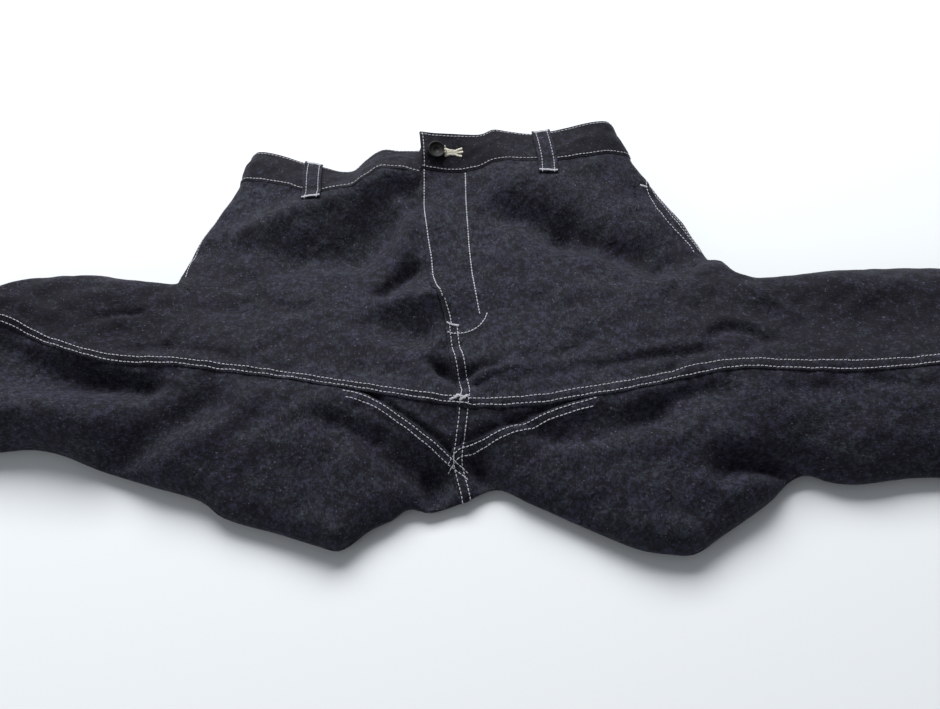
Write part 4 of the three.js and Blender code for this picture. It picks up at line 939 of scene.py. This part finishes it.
pieces = {}
for side in (-1, 1):
    word = sideNames[side]
    pieces["front_panel_" + word] = frontPanel(side, denimCloth)
    pieces["back_panel_" + word] = backPanel(side, denimCloth)
    pieces["gusset_" + word] = gusset(side, denimCloth)
    pieces["pocket_facing_" + word] = pocketFacing(side, denimCloth)
    pieces["waistband_" + word] = waistband(side, denimCloth)
    pieces["belt_loop_front_" + word] = frontLoop(side, denimCloth)
for name, middle in backLoops.items():
    pieces[name] = backLoop(name, middle, denimCloth)
print("cloth pieces ready")


# The button is turned about its middle: distance out and height over its seat
buttonForm = columns("out up", [
    (0, 0), (7.3, 0), (8.2, 0.35), (8.6, 1.1), (8.6, 2.3), (8.3, 3), (7.7, 3.4), (7, 3.4),
    (6.4, 3), (5.9, 2.3), (5.2, 2.05), (3.2, 2.05), (2.6, 1.8), (2.2, 1.3), (0, 1.25)])


def buttonPiece(material):
    patchX = garment["buttonX"] + np.array([-4.0, 0, 4])
    nearby, guess = bandPoint(1, patchX, np.broadcast_to([0.4, 0.5, 0.6], (3, 3)))
    face = gridFaces(nearby, guess)[1, 1]
    sideways = unit(np.cross(face, [0.0, 1.0, 0.0]))
    upward = np.cross(face, sideways)
    angle = np.linspace(0, 2 * np.pi, 49)[:-1]
    ring = sideways * np.cos(angle)[:, None] + upward * np.sin(angle)[:, None]
    seat = nearby[1, 1] + face * 1.6
    profile = zip(buttonForm["out"][1:-1], buttonForm["up"][1:-1])
    rows = [seat + ring * out + face * up for out, up in profile]
    places = np.concatenate([*rows, [seat, seat + face * buttonForm["up"][-1]]])
    count, last = len(angle), len(rows) - 1
    k = np.arange(count)
    after = np.roll(k, -1)
    faces = []
    for row in range(0, last * count, count):
        faces += np.stack([k + row, k + row + count, after + row + count, after + row], 1).tolist()
    faces += [[len(places) - 2, int(a), int(b)] for a, b in zip(k, after)]
    faces += [[len(places) - 1, int(b) + last * count, int(a) + last * count] for a, b in zip(k, after)]
    corners = places - seat
    volume = sum(float(np.dot(corners[f[0]], np.cross(corners[f[1]], corners[f[2]]))) for f in faces)
    if volume < 0:
        faces = [f[::-1] for f in faces]
    mesh = bpy.data.meshes.new("waistButton")
    mesh.from_pydata(toFrame(places).tolist(), [], faces)
    mesh.polygons.foreach_set("use_smooth", [True] * len(faces))
    mesh.materials.append(material)
    piece = bpy.data.objects.new("waistButton", mesh)
    bpy.context.collection.objects.link(piece)
    return piece


pieces["button"] = buttonPiece(buttonBlack)

stitching = {
    "length": 2.7,
    "gap": 0.75,
    "thread": 0.4,
    "flyThread": 0.52,
    "inseamRow": 2.2,  # how far each row lies from its edge
    "centreRows": (2, 8.4),
    "gussetRows": ((2, 1), (7.6, 4)),  # with how far short of the tip it ends
    "pocketRow": 2.4,
    "hemRow": 2,
    "flyRow": 1.6,
    "flyFoot": 3.4,
    "bandRows": (0.07, 0.93),  # shares of the band's height
    "bandEnd": 1.5,
    "loopClear": 10.6,
    "tackStep": 0.62,
    "tackLength": 2.1,
    "tackThread": 0.36,
    "holeStep": 0.6,
    "holeThread": 0.42,
    "crossing": {-1: 0.7, 1: 1.2},  # how steeply the gusset's rows run on past the middle
}


# All cloth in one search tree, so that a row of stitches can be laid on whatever piece is uppermost
def clothTree():
    places, faces = [], []
    for piece in pieces.values():
        mesh, count = piece.data, len(places)
        places += [vertex.co.copy() for vertex in mesh.vertices]
        faces += [[v + count for v in polygon.vertices] for polygon in mesh.polygons]
    return BVHTree.FromPolygons(places, faces)


# The seated points of a row: its plan path taken every so often, dropped onto the cloth or raised from below
def seated(tree, path, step, below=False):
    path = np.asarray(path, float)
    walked = np.r_[0, np.cumsum(np.hypot(*np.diff(path, axis=0).T))]
    s = np.linspace(0, walked[-1], max(int(walked[-1] / step), 2) + 1)
    points, normals = [], []
    start, way = (-0.1, 1) if below else (0.2, -1)
    for x, y in zip(curve(walked, path[:, 0])(s), curve(walked, path[:, 1])(s)):
        source = Vector((x / 1000, (y - originY) / 1000, start))
        hit, normal, _, _ = tree.ray_cast(source, Vector((0, 0, way)))
        if hit is not None:
            points.append(hit)
            normals.append(normal if normal.z * way < 0 else -normal)
    return points, normals


# A thread lying over the cloth: it dives in at both ends, and lies along X with the cloth's face along Z
def threadMesh(name, length, thick, crosswise=False):
    at = np.array([-0.5, -0.4, -0.18, 0.18, 0.4, 0.5]) * length
    high = np.array([-0.9, 0.35, 0.75, 0.75, 0.35, -0.9]) * thick
    wide = np.array([0.5, 0.95, 1, 1, 0.95, 0.5]) * thick
    angle = np.linspace(0, 2 * np.pi, 6)[:-1]
    places = []
    for x, z, w in zip(at, high, wide):
        places += [(x, w * math.cos(a), z + w * 0.8 * math.sin(a)) for a in angle]
    count = len(angle)
    faces = []
    for row in range(0, (len(at) - 1) * count, count):
        for k in range(count):
            after = (k + 1) % count
            faces.append((row + count + k, row + count + after, row + after, row + k))
    faces += [tuple(range(count)), tuple(range(5 * count, 6 * count))[::-1]]
    mesh = bpy.data.meshes.new(name)
    places = [(-y, x, z) for x, y, z in places] if crosswise else places
    mesh.from_pydata((np.array(places) / 1000).tolist(), [], faces)
    mesh.polygons.foreach_set("use_smooth", [True] * len(faces))
    mesh.update()
    return mesh


# Stitches along paths: each path is taken at the stitch length, with one thread at each place
def stitchGroup():
    group = bpy.data.node_groups.new("stitches", "GeometryNodeTree")
    ports = {}
    kinds = {"Geometry": "Geometry", "Length": "Float", "Thread": "Object", "Uneven": "Float", "Seed": "Int",
             "Material": "Material"}
    for name, kind in kinds.items():
        port = group.interface.new_socket(name, in_out="INPUT", socket_type="NodeSocket" + kind)
        ports[name] = port.identifier
    group.interface.new_socket("Geometry", in_out="OUTPUT", socket_type="NodeSocketGeometry")
    nodes, link = group.nodes, group.links.new
    start, end = nodes.new("NodeGroupInput"), nodes.new("NodeGroupOutput")
    toCurve = nodes.new("GeometryNodeMeshToCurve")
    link(start.outputs["Geometry"], toCurve.inputs["Mesh"])
    taken = nodes.new("GeometryNodeResampleCurve")
    taken.mode = "LENGTH"
    link(toCurve.outputs["Curve"], taken.inputs["Curve"])
    link(start.outputs["Length"], taken.inputs["Length"])
    face = nodes.new("GeometryNodeInputNamedAttribute")
    face.data_type = "FLOAT_VECTOR"
    face.inputs["Name"].default_value = "face"
    tangent = nodes.new("GeometryNodeInputTangent")
    upright = nodes.new("FunctionNodeAlignRotationToVector")
    upright.axis = "Z"
    link(face.outputs["Attribute"], upright.inputs["Vector"])
    turned = nodes.new("FunctionNodeAlignRotationToVector")
    turned.axis, turned.pivot_axis = "X", "Z"
    link(upright.outputs["Rotation"], turned.inputs["Rotation"])
    link(tangent.outputs["Tangent"], turned.inputs["Vector"])
    uneven = nodes.new("FunctionNodeRandomValue")
    uneven.data_type = "FLOAT_VECTOR"
    link(start.outputs["Seed"], uneven.inputs["Seed"])
    low, high = nodes.new("ShaderNodeMath"), nodes.new("ShaderNodeMath")
    low.operation, high.operation = "SUBTRACT", "ADD"
    for node in (low, high):
        node.inputs[0].default_value = 1
        link(start.outputs["Uneven"], node.inputs[1])
    link(low.outputs[0], uneven.inputs["Min"])
    link(high.outputs[0], uneven.inputs["Max"])
    thread = nodes.new("GeometryNodeObjectInfo")
    link(start.outputs["Thread"], thread.inputs["Object"])
    placed = nodes.new("GeometryNodeInstanceOnPoints")
    link(taken.outputs["Curve"], placed.inputs["Points"])
    link(thread.outputs["Geometry"], placed.inputs["Instance"])
    link(turned.outputs["Rotation"], placed.inputs["Rotation"])
    link(uneven.outputs["Value"], placed.inputs["Scale"])
    real = nodes.new("GeometryNodeRealizeInstances")
    link(placed.outputs["Instances"], real.inputs["Geometry"])
    coloured = nodes.new("GeometryNodeSetMaterial")
    link(real.outputs["Geometry"], coloured.inputs["Geometry"])
    link(start.outputs["Material"], coloured.inputs["Material"])
    link(coloured.outputs["Geometry"], end.inputs["Geometry"])
    return group, ports


stitchNodes, stitchPorts = stitchGroup()
threadHolder = bpy.data.collections.new("threads")


def stitchPiece(name, rows, spacing, length, thick, seed, crosswise=False, material=threadWhite):
    places, faces, edges = [], [], []
    for points, normals in rows:
        first = len(places)
        places += [point + normal * (thick * 0.15 / 1000) for point, normal in zip(points, normals)]
        faces += normals
        edges += [(k, k + 1) for k in range(first, len(places) - 1)]
    mesh = bpy.data.meshes.new(name + "Path")
    mesh.from_pydata([tuple(p) for p in places], edges, [])
    mesh.attributes.new("face", "FLOAT_VECTOR", "POINT").data.foreach_set("vector", np.array(faces).ravel())
    path = bpy.data.objects.new(name + "Path", mesh)
    bpy.context.collection.objects.link(path)
    thread = bpy.data.objects.new(name + "Thread", threadMesh(name + "Thread", length, thick, crosswise))
    threadHolder.objects.link(thread)
    grown = path.modifiers.new("stitches", "NODES")
    grown.node_group = stitchNodes
    for key, value in (("Length", spacing / 1000), ("Thread", thread), ("Uneven", 0.12), ("Seed", seed),
                       ("Material", material)):
        grown[stitchPorts[key]] = value
    bpy.context.view_layer.update()
    made = bpy.data.meshes.new_from_object(path.evaluated_get(bpy.context.evaluated_depsgraph_get()))
    bpy.data.objects.remove(path)
    bpy.data.objects.remove(thread)
    made.name = name
    if not made.materials:
        made.materials.append(material)
    piece = bpy.data.objects.new(name, made)
    bpy.context.collection.objects.link(piece)
    return piece


def across(xs, yOf):
    return [(x, float(yOf(x))) for x in xs]


def upwards(ys, xOf):
    return [(float(xOf(y)), y) for y in ys]


def bandRow(side, fromX, toX, share):
    x = np.linspace(fromX, toX, 60)
    return bandPoint(side, x, np.full((60, 1), share))[0][:, 0, :2]


def bandPlace(side, x, share):
    return tuple(bandPoint(side, np.array([x], float), np.array([[share]]))[0][0, 0, :2])


def loopPlan(side, u, fromShare, toShare):
    fromX, fromY, toX = frontLoops[sideNames[side]]
    seamAt = float(column(waistOf[side], "seamY")(fromX))
    rows = [(fromX + u * garment["loopWidth"], mix(fromY, seamAt, t)) for t in (fromShare, 0.5, 0.9)]
    for v in np.linspace(0.15, toShare, 6):
        x = mix(fromX, toX, v * 0.2) + u * garment["loopWidth"]
        rows.append(bandPlace(side, x, v))
    return rows


def pocketRow(side, inward):
    mouth = pocketOf[side]["y"]
    y = np.linspace(mouth[0] + 2, mouth[-1] - 2, 40)
    return [(float(hipX[side](t) - side * (pocketInset[side](t) + inward)), t) for t in y]


def gussetRowY(side, x):
    return gussetY[side](x) - stitching["crossing"][side] * max(0, side * (middleX - x))


tree = clothTree()
legSpan = np.linspace(-reach + 2, reach - 2, 200)
outerRow = column(inseamRows, "away")
hemX = {side: side * (reach - garment["hemTurn"] + stitching["hemRow"]) for side in (-1, 1)}
plans = [
    across(legSpan, lambda x: inseamY(x) + stitching["inseamRow"]),
    across(legSpan, lambda x: inseamY(x) + outerRow(x)),
]
for low, high in ((-76, -8), (-4, 76)):
    for away in stitching["centreRows"]:
        plans.append(upwards(np.linspace(low, high, 24), lambda y: centreX(y) + away))
for side in (-1, 1):
    tip = gussetTip[side]
    for away, short in stitching["gussetRows"]:
        xs = np.linspace(middleX - side * 7, tip - side * short, 40)
        plans.append(across(xs, lambda x: gussetRowY(side, x) - away))
    ends = waistOf[side]["x"]
    inner, outer = (ends[0], ends[-1]) if side > 0 else (ends[-1], ends[0])
    fromX, _, toX = frontLoops[sideNames[side]]
    clear, end = side * stitching["loopClear"], side * stitching["bandEnd"]
    for share, loopX in zip(stitching["bandRows"], (fromX, mix(fromX, toX, 0.2))):
        plans.append(bandRow(side, inner + end, loopX - clear, share))
        plans.append(bandRow(side, loopX + clear, outer - end, share))
    plans.append(pocketRow(side, stitching["pocketRow"]))
    for u in (-0.32, 0.32):
        plans.append(loopPlan(side, u, 0.04, 0.97))
    hem = hemX[side]
    plans.append(upwards(np.linspace(nearY(hem) + 3, farY[side](hem) - 3, 24), lambda y: hem))
mouth = pocketOf[1]["y"]
down = np.linspace(mouth[-1] - 1, mouth[0] + 4, 40)
for inward in (-0.42, -0.58):  # two rows on the facing, as shares of what shows of it
    plans.append([(float(hipX[1](t) + pocketInset[1](t) * inward), t) for t in down])
plans.append([bandPlace(1, -38.3, v) for v in np.linspace(0.08, 0.92, 9)])
rows = [seated(tree, plan, 1) for plan in plans]
for side, hem in hemX.items():
    rows.append(seated(tree, [(hem, nearY(hem) + 3), (hem, farY[side](hem) - 3)], 2, below=True))
spacing = stitching["length"] + stitching["gap"]
topstitching = stitchPiece("topstitching", rows, spacing, stitching["length"], stitching["thread"], 3)
flyPlans = [
    upwards(np.linspace(99, 250, 40), lambda y: centreX(y) + stitching["flyRow"]),
    upwards(np.linspace(78, 97, 10), lambda y: centreX(y) + stitching["flyFoot"]), jRow, jArc]
flyRows = [seated(tree, plan, 1) for plan in flyPlans]
spacing = stitching["length"] + 0.3
flyStitching = stitchPiece("flyStitching", flyRows, spacing, stitching["length"], stitching["flyThread"], 4)

# Bar tacks: threads laid close together across each end of a loop, pocket and fly
tacks = []
for side in (-1, 1):
    fromX, fromY, toX = frontLoops[sideNames[side]]
    half = garment["loopWidth"] / 2 - 0.6
    tacks.append([(fromX - half, fromY + 1.8), (fromX + half, fromY + 1.8)])
    tacks.append([bandPlace(side, mix(fromX, toX, 0.2) + u * half * 0.85, 0.985) for u in (-1, 1)])
tacks += [[(-14.6, 76.6), (-4.8, 76.6)], [(163.4, 241.6), (169.8, 241.2)]]
tacks += [[(-11, -1.5), (-4, 1)], [(-6, 2), (1, -0.5)], [(-3, -2.5), (3, 2.5)]]
tackRows = [seated(tree, path, 0.5) for path in tacks]
length = stitching["tackLength"]
barTacks = stitchPiece("barTacks", tackRows, stitching["tackStep"], length, stitching["tackThread"], 5, True)

# The buttonhole's worked edges, on the lapping band beside the button: X and the share of the band's height
holeForm = (
    [(-18, 0.54), (-13, 0.545), (-8, 0.535)], [(-18, 0.46), (-13, 0.455), (-8, 0.465)],
    [(-16, 0.5), (-12, 0.5), (-8, 0.5)], [(-18, 0.6), (-13, 0.53), (-7, 0.43), (-3, 0.4)],
    [(-18, 0.4), (-13, 0.47), (-7, 0.56), (-3, 0.6)], [(-8, 0.5), (-5, 0.5), (-2, 0.51)])
holeRows = [seated(tree, [bandPlace(1, x, v) for x, v in row], 0.5) for row in holeForm]
step, thick = stitching["holeStep"], stitching["holeThread"]
buttonhole = stitchPiece("buttonhole", holeRows, step, length, thick, 8, True, threadCream)
print("stitches ready")

# The cut each visible piece was made from: width, length and share of that rectangle
cuts = {
    "front_panel_left": (0.27, 1.0, 0.62),
    "front_panel_right": (0.27, 1.0, 0.62),
    "back_panel_left": (0.36, 1.02, 0.66),
    "back_panel_right": (0.36, 1.02, 0.66),
    "gusset_left": (0.05, 0.11, 0.5),
    "gusset_right": (0.05, 0.11, 0.5),
    "pocket_facing_left": (0.03, 0.11, 0.8),
    "pocket_facing_right": (0.02, 0.11, 0.8),
    "waistband_left": (0.038, 0.40, 1.0),
    "waistband_right": (0.038, 0.40, 1.0),
    "belt_loop_front_left": (0.0175, 0.075, 1.0),
    "belt_loop_front_right": (0.0175, 0.075, 1.0),
    "belt_loop_back_left": (0.0175, 0.046, 1.0),
    "belt_loop_back_centre": (0.0175, 0.046, 1.0),
    "belt_loop_back_right": (0.0175, 0.046, 1.0),
}
for name, piece in pieces.items():
    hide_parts(name)
    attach(piece, "root")
for piece in (topstitching, flyStitching, barTacks, buttonhole):
    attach(piece, "root")
for name, (wide, length, share) in cuts.items():
    wide * length * share

studio = {
    "floor": 14.0,
    "floorZ": -0.0004,
    "floorColour": (0.71, 0.74, 0.76),
    "keyPower": 110,
    "keySize": (2.3, 1.4),
    "keyPlace": (-0.3, 1.7, 1.75),
    "fillPower": 8,
    "fillSize": (1.6, 1.2),
    "fillPlace": (-1.5, -1.5, 0.9),
    "world": 0.235,
    "exposure": 0.0,
}
floorMesh = bpy.data.meshes.new("floor")
far = studio["floor"] / 2
corners = [(x * far, y * far, studio["floorZ"]) for x, y in ((-1, -1), (1, -1), (1, 1), (-1, 1))]
floorMesh.from_pydata(corners, [], [(0, 1, 2, 3)])
floorMesh.materials.append(plainMaterial("paper", studio["floorColour"], 0.9, 0.1))
floor = bpy.data.objects.new("floor", floorMesh)
bpy.context.collection.objects.link(floor)
floor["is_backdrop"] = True


def areaLight(name, place, size, power):
    data = bpy.data.lights.new(name, "AREA")
    data.shape, data.size, data.size_y = "RECTANGLE", *size
    data.energy = power
    light = bpy.data.objects.new(name, data)
    light.location = place
    light.rotation_euler = (-Vector(place)).to_track_quat("-Z", "Y").to_euler()
    bpy.context.collection.objects.link(light)


areaLight("key", studio["keyPlace"], studio["keySize"], studio["keyPower"])
areaLight("fill", studio["fillPlace"], studio["fillSize"], studio["fillPower"])
world = bpy.data.worlds.new("studio")
world.use_nodes = True
world.node_tree.nodes["Background"].inputs["Color"].default_value = (0.93, 0.95, 1, 1)
world.node_tree.nodes["Background"].inputs["Strength"].default_value = studio["world"]
scene = bpy.context.scene
scene.world = world
scene.view_settings.view_transform = "Standard"
scene.view_settings.exposure = studio["exposure"]

view = {
    "film": 36,
    "lens": 40.2,
    "place": (0.00475, -0.5362, 0.7503),
    "aim": (0.00475, -0.0301, 0),
}
lens = bpy.data.cameras.new("camera")
lens.sensor_width, lens.lens = view["film"], view["lens"]
lens.clip_start, lens.clip_end = 0.05, 50
camera = bpy.data.objects.new("camera", lens)
camera.location = view["place"]
aim = Vector(view["aim"]) - Vector(view["place"])
camera.rotation_euler = aim.to_track_quat("-Z", "Y").to_euler()
bpy.context.collection.objects.link(camera)
scene.camera = camera

low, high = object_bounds()
